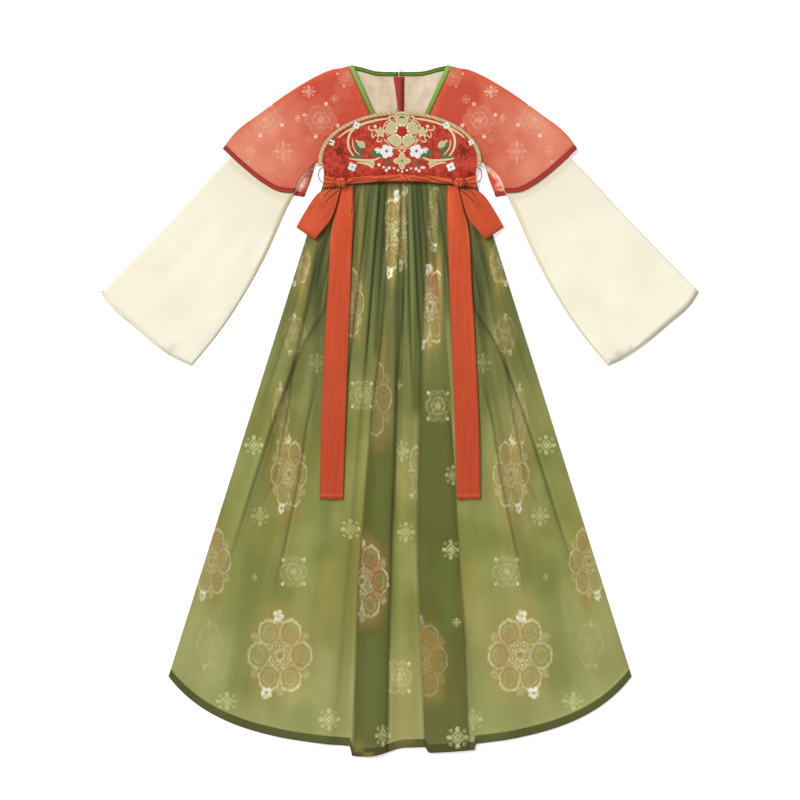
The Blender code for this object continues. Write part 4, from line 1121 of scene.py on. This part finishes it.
# Duchesse satin, folded lengthwise: smooth, with a soft lengthwise shine and a dark fold to the right
strip = material("red_duchesse_satin", 0.45, 0.1)
where = add("SeparateXYZ", object_place)
right_side = add("MapRange", where.outputs[0], -0.0010, 0.0030, 0.0, 1.0,
                 interpolation_type="SMOOTHSTEP")
upper = add("MapRange", where.outputs[1], 0.528, 0.535, 0.0, 0.7)
dye(painted("#ab3428", (right_side, "#7c1f18"), (weaker(upper, right_side), "#7c5a40")))
weave(0.0018, 0.0002)

# Nickel-plated steel wire, dulled by handling
wire = material("dull_nickel_plated_wire", 0.4)
shader.inputs["Metallic"].default_value = 1.0
dye(painted("#6a6a60", (add("TexNoise", object_place, None, 400.0, 2.0, 0.5), "#a8a89c")))

for word, _ in SIDES:
    bm = softened("back_lining_" + word, 2, 0.0002, 0.02, 5)
    keep("back_lining_tricot_" + word, bm, lining, "nude_lining", "back_lining_" + word)
keep("placket_strip", softened("back_placket", 2, 0.0, 0.02, 5), strip, "red_placket", "back_placket")
nodes["neck_hook"].data.materials[0] = wire
print("lining, placket and hook")

# %% [markdown]
# ## Back of the dress and chest panel
#
# The chest panel is red satin, gathered a little along the sash, and embroidered above. A gold cord edging
# runs round its curved top. The plain back bodice and the back of the skirt are only seen from below.

# %% Chest panel
satin = material("red_polyester_satin", 0.5, 0.15)
drawn = add("VectorMath", object_place, (150.0, 20.0, 1.0), operation="MULTIPLY")
gather = add("TexNoise", drawn, None, 1.0, 2.0, 0.5)
low = add("MapRange", add("SeparateXYZ", object_place).outputs[1], 0.400, 0.374, 0.15, 1.0,
          interpolation_type="SMOOTHSTEP")
cloud = add("TexNoise", object_place, None, 160.0, 3.0, 0.6)
cloud = add("MapRange", cloud, 0.36, 0.64, 0.0, 1.0)
# Painted light and shade of the gathers, strongest along the sash, scale the satin's colour
painted_streak_shade = weaker(add("MapRange", gather, 0.35, 0.65, -1.0, 1.0), low)
dye(painted("#9e2617", (cloud, "#cc452e")), add("Math", painted_streak_shade, 0.30, 1.0, operation="MULTIPLY_ADD"))
weave(0.0020, 0.0002, weaker(gather, low, 0.0022))

plain_red = material("red_satin_back", 0.55, 0.1)
dye(painted("#ae3626", (add("TexNoise", object_place, None, 30.0, 3.0, 0.5), "#c24a37")))
weave(0.0022, 0.0002)

plain_green = material("printed_green_chiffon_back", 0.85, 0.15)
cloud = add("TexNoise", object_place, None, 8.0, 2.0, 0.5)
spot, _ = nearest(object_place, both_sides([row for row in SIDE_ROUNDELS if row[2] > 15]))
gold, white, _ = roundel(spot)
dye(painted("#7a8046", (cloud, "#96955a"), (weaker(gold, 0.6), "#d9d4a0"), (weaker(white, 0.6), "#f3f4e4")))
weave(0.0024, 0.0002)

bodice = softened("bodice_front", 3, 0.0, 0.05, 2)
bodice_surface = surface_of(bodice)
keep("chest_panel", bodice, satin, "red_bodice", "bodice_front")
nodes["back_bodice"].data.materials[0] = plain_red
nodes["skirt_back"].data.materials[0] = plain_green

# Gimp cord: gold-coloured viscose wound round a core, slightly shiny, with slanting strands
gimp = material("gold_viscose_gimp", 0.5, 0.1)
strands = add("TexWave", object_place, threads_apart(0.0042), 2.5, 2.0, 60.0,
              bands_direction="DIAGONAL").outputs["Fac"]
cloud = add("TexNoise", object_place, None, 110.0, 2.0, 0.5)
dye(painted("#c2a274", (weaker(strands, cloud), "#eadcb2")))
emboss(strands, 0.7, 0.0005)
piping = softened("bodice_piping", 2, 0.0, 0.05, 2)
piping_surface = surface_of(piping)
keep("gold_edging", piping, gimp, "gold_piping", "bodice_piping")
print("chest panel and edging")

# %% [markdown]
# ## Sash
#
# The sash is a turned tube of soft coral charmeuse. It lies flat at each side seam, is knotted there, and
# runs across the waist as a twisted roll. Each end hangs down as a long ribbon and each knot holds a short
# loop. The creases that the knot pulls into it are pressed in along short lines read off the photograph.

# %% Creases and folds of the sash
KNOT_CREASES = [
    [(334.5, 180.6), (338, 182.4), (342, 182.9), (346.5, 181.2)], [(336.8, 184), (338.6, 188.6)],
    [(341, 184), (341.6, 189)], [(344.6, 178), (346.4, 181.4)],
]
ROLL_CREASES = [
    [(349, 183.6), (356, 181.6), (366, 180.8), (376, 180.2), (384, 178.6)],
    [(352, 180.4), (362, 178.9), (372, 178.4)], [(378, 181.5), (390, 179.6), (400, 177.5)],
    [(402.5, 173), (404.5, 176.5), (409, 183)], [(411, 179), (420, 180.3), (430, 182.2)],
    [(416, 175.8), (426, 177.6), (436, 180.4)], [(430, 179.5), (440, 182), (450, 184)],
]
STREAMER_CREASES = [[(352.5, 188), (353.2, 200), (352, 214)], [(316, 496.6), (348, 496.6)]]
LOOP_CREASES = [[(339, 191), (333, 196), (326, 203)], [(336, 189), (329, 192), (324, 197)]]
# Broad folds that catch the light or lie in shade: places, half width in grid steps and how much lighter
STREAMER_GLOW = [
    ([(345, 189), (337, 201), (333, 224), (331.6, 250)], 1.6, 0.22), ([(350, 192), (349, 225)], 4.0, 0.10),
    ([(330, 300), (328, 360)], 5.0, 0.06), ([(343, 300), (342, 380)], 4.0, -0.06),
    ([(334, 420), (333, 470)], 8.0, -0.05),
]
LOOP_GLOW = [
    ([(334, 192), (327, 198), (322, 206)], 3.4, -0.24), ([(323, 206), (314, 219), (309, 226)], 5.0, -0.02),
    ([(336, 197), (332, 209), (326, 219)], 2.2, -0.14), ([(300, 229), (315, 238)], 2.0, -0.12),
]
BAND_CREASES = [
    [(323, 184), (330, 184.6), (337, 183.6)], [(323, 190), (330, 187), (337, 185.4)],
    [(326, 179.5), (332, 181), (337, 182)],
]
print(len(ROLL_CREASES), "creases on the roll,", len(STREAMER_GLOW), "folds on each end")

# %% Sash helpers


def on_side(places, side):
    """X and Y of places on the grid, which are given for the wearer's right."""
    return [seen(px if side < 0 else 2 * CENTRE_COLUMN - px, py) for px, py in places]


def far_from(spots, places, side):
    """Distance of each spot from the smooth line through places on the grid."""
    return distance_to(route(on_side(places, side), np.linspace(0, 1, 16)), spots[:, 0], spots[:, 1])[0]


def creased(bm, lines, side, width=0.0014, depth=0.0007):
    """Presses creases into the upper side of a sash piece, and marks the crease for painted shade and the
    shine beside it for a painted highlight.
    """
    bm.normal_update()
    spots = points_of(bm)
    pressed, shine = np.zeros(len(spots)), np.zeros(len(spots))
    for places in lines:
        far = far_from(spots, places, side) / width
        pressed = np.maximum(pressed, np.exp(-far**2))
        shine = np.maximum(shine, np.exp(-((far - 2.0) / 0.9) ** 2))
    upper = np.array([vert.normal.z > 0.2 for vert in bm.verts])
    set_heights(bm, spots[:, 2] + upper * depth * (0.5 * shine - pressed))
    mark(bm, "crease", pressed * upper)
    mark(bm, "shine", shine * upper * (1.0 - pressed))


def lit(bm, folds, side):
    """Marks how light the ribbon is near its broad folds."""
    spots = points_of(bm)
    gain = np.zeros(len(spots))
    for places, wide, lighter in folds:
        gain += lighter * np.exp(-(far_from(spots, places, side) / (wide * PIXEL)) ** 2)
    mark(bm, "lit", gain)


def lie_along(bm, start, end):
    """Marks how far each point lies along and across a direction, for streaks that follow the ribbon."""
    ahead = np.subtract(end, start) / np.linalg.norm(np.subtract(end, start))
    spots = points_of(bm)[:, :2] - np.array(start)
    mark(bm, "along", spots @ ahead)
    mark(bm, "across", spots @ np.array([-ahead[1], ahead[0]]))


print("sash helpers ready")

# %% Ribbon
# Charmeuse: a satin face with a soft broken shine, lengthwise streaks of painted light and shade, painted
# shade in the creases and a painted highlight beside them
ribbon = material("coral_charmeuse_ribbon", 0.55, 0.1)
along, across, seam, shine, crease, folds = (
    add("Attribute", attribute_name=name).outputs["Fac"]
    for name in ("along", "across", "seam", "shine", "crease", "lit")
)
drawn = add("CombineXYZ", weaker(across, 190.0), weaker(along, 14.0), 0.0)
streak = add("TexNoise", drawn, None, 1.0, 2.0, 0.5)
low = add("MapRange", add("SeparateXYZ", object_place).outputs[1], 0.34, -0.13, 0.0, 1.0)
edge = add("MapRange", seam, 0.0, 0.0022, 0.7, 0.0)
# Painted shade in the creases and a painted highlight beside them
colour = painted("#ce5028", (low, "#ba4320"), (edge, "#a8381a"), (weaker(shine, 0.55), "#e8703f"),
                 (weaker(crease, 0.6), "#7c2013"))
# Painted light and shade of the lengthwise streaks
painted_streak_shade = add("MapRange", streak, 0.3, 0.7, 0.92, 1.08)
dye(colour, add("Math", painted_streak_shade, folds, operation="ADD"))
weave(0.0020, 0.0001, weaker(streak, 0.0010))
print("ribbon:", len(tree.nodes), "nodes")

# %% Sash
KEEP_CORNERS = math.radians(40)
KEEP_FOLDS = math.radians(60)
ROUND = math.pi             # no edge of a knot or of the roll stays sharp
SASH_PIECES = [
    # node, piece, levels, corner, creases, folds, and the grid places where the ribbon starts and ends
    ("sash_side_", "sash_band_", 3, KEEP_CORNERS, BAND_CREASES, [], (323, 184), (337, 184)),
    ("streamer_", "sash_end_", 3, KEEP_CORNERS, STREAMER_CREASES, STREAMER_GLOW, (345, 187), (332, 500)),
    ("bow_loop_", "sash_loop_", 3, KEEP_FOLDS, LOOP_CREASES, LOOP_GLOW, (337, 192), (305, 234)),
    ("knot_", "sash_knot_", 2, ROUND, KNOT_CREASES, [], (335, 181), (346, 179)),
]


def sash_piece(node, name, levels, corner, ripple, side, lines, folds, start, end):
    """A softened sash piece with its creases, folds and the direction of its streaks."""
    bm = softened(node, levels, ripple, 0.05, 4, corner)
    lie_along(bm, *on_side([start, end], side))
    creased(bm, lines, side)
    lit(bm, folds, side)
    return keep(name, bm, ribbon, "coral_ribbon", node)


sash = [
    sash_piece(node + word, name + word, levels, corner, 0.0002, side, *rest)
    for word, side in SIDES for node, name, levels, corner, *rest in SASH_PIECES
]
sash.append(sash_piece("sash_roll", "sash_roll_ribbon", 2, ROUND, 0.0, -1, ROLL_CREASES, [],
                       (347, 182), (453, 182)))
print(len(sash), "pieces of sash")

# %% [markdown]
# ## Embroidery
#
# The chest panel carries machine embroidery in satin stitch: a five-petalled flower over a small lozenge
# flower, with blossoms, buds, leaves and long stems mirrored on both sides. Ordinary ornaments of the style,
# each is worked out from a radius, a number of petals and a turn. A filled shape starts as a
# `create_circle` disc and a stem as a `create_grid` strip, and all shapes of one thread are one piece, laid
# on the satin and given the thickness of the stitching.

# %% Embroidery helpers
MIRROR = 803                # the embroidery is mirrored about half of this grid column
STITCH_HIGH = 0.0003        # top of the stitching above the satin
STITCH_LEVEL = 0.0002       # one layer of stitching on another
STITCH_SUNK = 0.0002        # the stitching starts this far inside the cloth


def disc(bm, px, py, shape, level, mirrored=False):
    """A filled shape. shape turns an angle into places right of and above the middle, in grid steps."""
    for flip in range(1 + mirrored):
        made = bmesh.ops.create_circle(bm, cap_ends=True, cap_tris=True, segments=40, radius=1.0)
        for vert in made["verts"]:
            right, above = (0.0, 0.0) if vert.co.length < 0.5 else shape(math.atan2(vert.co.y, vert.co.x))
            x = px + right
            vert.co = (*seen(MIRROR - x if flip else x, py - above), level)


def stem(bm, places, thick, level, mirrored=False):
    """A strip along a smooth line of places, thinner towards its ends."""
    for flip in range(1 + mirrored):
        made = bmesh.ops.create_grid(bm, x_segments=24, y_segments=1, size=0.5)
        for vert in made["verts"]:
            t = vert.co.x + 0.5
            here, ahead = route(places, np.array([t, min(t + 0.02, 1.0)]))
            behind = route(places, np.array([max(t - 0.02, 0.0)]))[0]
            step = ahead - behind
            step = step / np.hypot(*step)
            half = 0.5 * thick * (0.45 + 0.55 * math.sin(math.pi * t) ** 0.5)
            px, py = here + np.array([-step[1], step[0]]) * half * math.copysign(1.0, vert.co.y)
            vert.co = (*seen(MIRROR - px if flip else px, py), level)


def rosette(radius, petals, deep, turn=0.0, notch=0.0):
    """A flower outline: this many petals, this deep between them, each with a notch in its tip."""
    def shape(angle):
        swell = 0.5 + 0.5 * math.cos(petals * (angle - turn))
        reach = radius * (1.0 - deep * (1.0 - swell) - notch * swell**12)
        return reach * math.cos(angle), reach * math.sin(angle)
    return shape


def leaf(long, wide, turn, bend=0.0):
    """A pointed leaf outline, turned from pointing right, and bent by its middle."""
    def shape(angle):
        x, y = 0.5 * long * math.cos(angle), math.sin(angle)
        y = 0.5 * wide * y * abs(y) ** 0.6 + bend * math.sin(angle) ** 2
        return x * math.cos(turn) - y * math.sin(turn), x * math.sin(turn) + y * math.cos(turn)
    return shape


def on_chest(x, y):
    """Height of the chest panel or of its edging, whichever is on top."""
    return max(height_on(bodice_surface, x, y, 0.0), height_on(piping_surface, x, y, 0.0))


def stitched(name, bm, finish):
    """Lays flat shapes on the chest panel and gives them the thickness of padded satin stitch."""
    bmesh.ops.recalc_face_normals(bm, faces=bm.faces)
    for vert in bm.verts:
        lowest = on_chest(vert.co.x, vert.co.y)
        vert.co.z = lowest + STITCH_HIGH + vert.co.z * STITCH_LEVEL
    grown = bmesh.ops.extrude_face_region(bm, geom=bm.faces[:], use_keep_orig=True)
    lower = [part for part in grown["geom"] if isinstance(part, bmesh.types.BMVert)]
    for vert in lower:
        vert.co.z = on_chest(vert.co.x, vert.co.y) - STITCH_SUNK
    bmesh.ops.recalc_face_normals(bm, faces=bm.faces)
    for edge in bm.edges:
        edge.smooth = edge.calc_face_angle(0.0) < 0.7
    return keep(name, bm, finish, "red_bodice")


def satin_stitch(name, dark_hex, light_hex):
    """Rayon embroidery thread: close slanting stitches with a silky shine."""
    made = material(name, 0.45, 0.1)
    stitches = add("TexWave", object_place, threads_apart(0.0011), 1.0, 2.0, 90.0,
                   bands_direction="DIAGONAL").outputs["Fac"]
    patch = add("TexNoise", object_place, None, 260.0, 2.0, 0.5)
    mixed = add("Math", stitches, patch, operation="ADD")
    dye(painted(dark_hex, (add("MapRange", mixed, 0.5, 1.3, 0.0, 1.0), light_hex)))
    emboss(stitches, 0.6, 0.0003)
    return made


print("embroidery helpers ready")

# %% Flower in the middle
gold, pale, white, green, pink, red, wine = (bmesh.new() for _ in range(7))
UP = math.pi / 2            # the direction in which the first petal points

# Five petals with a double gold outline round a red heart
for n in range(5):
    turn = UP + n * 2 * math.pi / 5
    px, py = 402 + 10.9 * math.cos(turn), 132 - 10.9 * math.sin(turn)
    disc(gold, px, py, rosette(6.9, 1, 0.10, turn, 0.22), 0)
    disc(pale, px, py, rosette(5.7, 1, 0.12, turn, 0.26), 1)
    lobe = []
    for off in np.linspace(-math.pi / 5, math.pi / 5, 13):
        reach = 10.9 * math.cos(off) + math.sqrt(8.0**2 - (10.9 * math.sin(off)) ** 2)
        lobe.append((402 + reach * math.cos(turn + off), 132 - reach * math.sin(turn + off)))
    stem(gold, lobe, 1.1, 0)
disc(red, 402, 132, rosette(5.0, 1, 0.0), 2)
for n in range(10):
    turn = n * 2 * math.pi / 10
    disc(white, 402 + 6.2 * math.cos(turn), 132 - 6.2 * math.sin(turn), rosette(1.15, 1, 0.0), 3)
disc(green, 402, 118.5, leaf(7, 2.2, 0.0, 0.8), 2)
print("middle flower:", len(gold.faces) + len(pale.faces), "faces of gold and pale thread")

# %% Side flowers, stems and leaves
# Side blossoms with curls
disc(gold, 380.4, 133, rosette(5.6, 5, 0.42, 0.3), 0, True)
disc(pale, 380.4, 132.6, rosette(3.2, 5, 0.2, 0.3), 1, True)
for places in (
    [(376, 135), (373, 138), (371.8, 134.6), (372.6, 132.6)],
    [(379, 138), (377, 141.5), (380, 142.4), (382.4, 140)],
    [(384, 139), (386, 142), (389, 140), (388.4, 137)],
    [(377, 129), (374, 130.6), (370, 130.4), (368.6, 127.6), (370.2, 126.2)],
    [(383, 128), (385, 126), (388, 126.6)],
    [(391, 122), (389, 118), (391, 115.6)],
    [(396, 119), (393, 116.4), (390, 118)],
):
    stem(gold, places, 1.3, 0, True)
disc(white, 375.4, 127, rosette(1.4, 1, 0.0), 1, True)

# Long stems, vines and leaf sprays. The first follows the edging inside it
EDGE_LINE = [
    (400 - 72.6 * math.sin(angle), 161.3 - 42.8 * math.cos(angle))
    for angle in np.radians(np.linspace(8, 58, 12))
]
for places, thick in (
    ([(354, 157), (349.6, 150), (348.2, 142), (350.4, 134), (357, 127.4), (362, 125)], 2.3),
    ([(361, 156.4), (356, 152), (353, 146), (352.6, 140)], 1.2),
    (EDGE_LINE, 2.2),
    ([(349, 158.8), (358, 160.2), (367, 160.8), (374, 160.4), (381, 157.6)], 2.3),
    ([(357, 163), (363, 163.4), (368, 165), (373.6, 168.6)], 2.0),
    ([(366, 161.4), (370, 163.2), (372, 166)], 3.4), ([(371, 160.6), (373.6, 164), (372.6, 167)], 2.2),
    ([(356, 140.4), (358, 142.6), (361, 144.4)], 2.0), ([(381.4, 150), (377, 148.6), (374, 150.4)], 1.4),
):
    stem(gold, places, thick, 0, True)
disc(pale, 361.4, 145, leaf(9.6, 7.0, -0.7, 0.0), 1, True)
disc(pale, 370.2, 163.4, leaf(8.0, 3.0, -0.5, 0.0), 1, True)
disc(white, 377.6, 151.4, rosette(2.6, 3, 0.4, 0.4), 1, True)
disc(green, 357.6, 149.8, leaf(15.0, 4.2, -1.12, 1.4), 1, True)
disc(green, 376.4, 155.2, leaf(12.6, 5.0, -0.35, 0.6), 1, True)
disc(green, 357.0, 158.2, leaf(15.4, 2.6, 0.0, 0.5), 1, True)
disc(green, 387.6, 163.6, rosette(2.9, 4, 0.55, 0.5), 0, True)
print("stems and leaves:", len(gold.faces), "faces of gold and", len(green.faces), "of green thread")

# %% Small flowers and dots
# White blossoms with pink hearts, and small ones with dark hearts
disc(white, 386.6, 152, rosette(7.8, 5, 0.30, 1.9, 0.14), 2, True)
disc(pink, 386.6, 151.6, rosette(1.8, 5, 0.3), 3, True)
for px, py, radius in ((352.3, 167.4, 5.0), (356.8, 125.8, 4.0), (331.9, 143.2, 3.4)):
    disc(white, px, py, rosette(radius, 4, 0.34, 0.4, 0.08), 1, True)
    disc(green, px, py, rosette(1.0, 4, 0.5), 2, True)

# Lozenge flower, its small diamond, and the row of white dots
disc(gold, 402, 161.4, rosette(8.8, 4, 0.42), 0)
disc(pale, 402, 161.4, rosette(6.8, 4, 0.42), 1)
disc(green, 402, 161.4, rosette(1.2, 4, 0.3), 2)
disc(gold, 402, 150.8, rosette(4.0, 4, 0.36), 0)
disc(red, 402, 150.8, rosette(1.8, 4, 0.36), 1)
for px, py, radius in (
    (379, 165.3, 1.5), (383.6, 167.7, 1.2), (386.3, 170.7, 1.5), (389.2, 168.4, 1.5), (394, 168.7, 1.1),
    (398.1, 170.8, 1.1), (402.2, 171.9, 1.1), (406.8, 170.8, 1.2), (411.1, 168.9, 1.0), (416, 169.3, 1.5),
    (419, 171.4, 1.5), (421.6, 168.2, 1.2), (423.9, 168, 1.4),
):
    disc(white, px, py, rosette(radius, 1, 0.0), 1)

# Dark red blossoms at the sides
disc(wine, 339.4, 152, rosette(4.8, 5, 0.30, 0.4), 0, True)
for px, py, long, turn in (
    (342, 145.6, 6.0, 2.3), (336.6, 144.6, 5.0, 1.2), (346, 154.6, 6.4, -0.5), (342, 158.4, 5.0, -1.2),
):
    disc(wine, px, py, leaf(long, 1.2, turn, 0.3), 0, True)
print("small flowers:", len(white.faces), "faces of white and", len(wine.faces), "of wine thread")

# %% Embroidery
embroidery = [
    stitched("stitching_" + name, bm, satin_stitch(name + "_rayon_thread", dark, light))
    for name, bm, dark, light in (
        ("gold", gold, "#cdb47c", "#ecdcae"),
        ("pale_green", pale, "#b3ad78", "#d1c89b"),
        ("white", white, "#cfdccb", "#f4faf4"),
        ("green", green, "#1f5f38", "#3f8a58"),
        ("pink", pink, "#b82a62", "#e0508c"),
        ("red", red, "#a01c14", "#c42a20"),
        ("wine", wine, "#6e2412", "#8a2a1a"),
    )
]
faces = sum(len(piece.data.polygons) for piece in embroidery)
print("embroidery:", faces, "faces in", len(embroidery), "pieces")

# %% [markdown]
# ## The cut of each sheet
#
# Every cloth piece is declared with the flat rectangle that it is cut from and the area of its cut. The laid
# area is measured on the piece. Gathered pieces are cut fuller than they lie, so their area is larger by the
# fullness in this table. Bindings, edging, embroidery and knots go with the sheet that they are sewn to.

# %% Sheets
SHEETS = [
    # piece, width, length, fullness, held, rests on, what is sewn to it
    ("skirt_front_cloth", 0.760, 0.930, 1.15, "gathered", ["skirt_back"], []),
    ("skirt_back", 0.750, 0.910, 1.10, "gathered", [], []),
    ("back_bodice", 0.246, 0.034, 1.0, "laid", [], []),
    ("chest_panel", 0.250, 0.108, 1.05, "gathered", ["back_bodice"],
     ["gold_edging", *(piece.name for piece in embroidery)]),
    ("placket_strip", 0.018, 0.096, 1.0, "folded", ["back_lining_tricot_left"], []),
]
for word, _ in SIDES:
    SHEETS += [
        ("short_sleeve_front_" + word, 0.285, 0.215, 1.0, "laid", ["long_sleeve_" + word],
         ["sleeve_binding_front_tape_" + word, "neck_binding_front_tape_" + word]),
        ("short_sleeve_back_" + word, 0.285, 0.220, 1.0, "laid", [],
         ["sleeve_binding_back_tape_" + word, "neck_binding_back_tape_" + word]),
        ("long_sleeve_" + word, 0.400, 0.435, 1.0, "laid", ["short_sleeve_back_" + word], []),
        ("back_lining_tricot_" + word, 0.100, 0.136, 1.0, "laid", ["short_sleeve_back_" + word], []),
        ("sash_band_" + word, 0.021, 0.022, 1.0, "stretched", ["chest_panel"], []),
        ("sash_end_" + word, 0.042, 0.510, 1.0, "laid", ["skirt_front_cloth"], ["sash_knot_" + word]),
        ("sash_loop_" + word, 0.046, 0.200, 1.0, "folded", ["skirt_front_cloth"], []),
    ]
for name, width, length, fullness, held, under, sewn in SHEETS:
    if name == "sash_end_left":
        sewn = sewn + ["sash_roll_ribbon"]
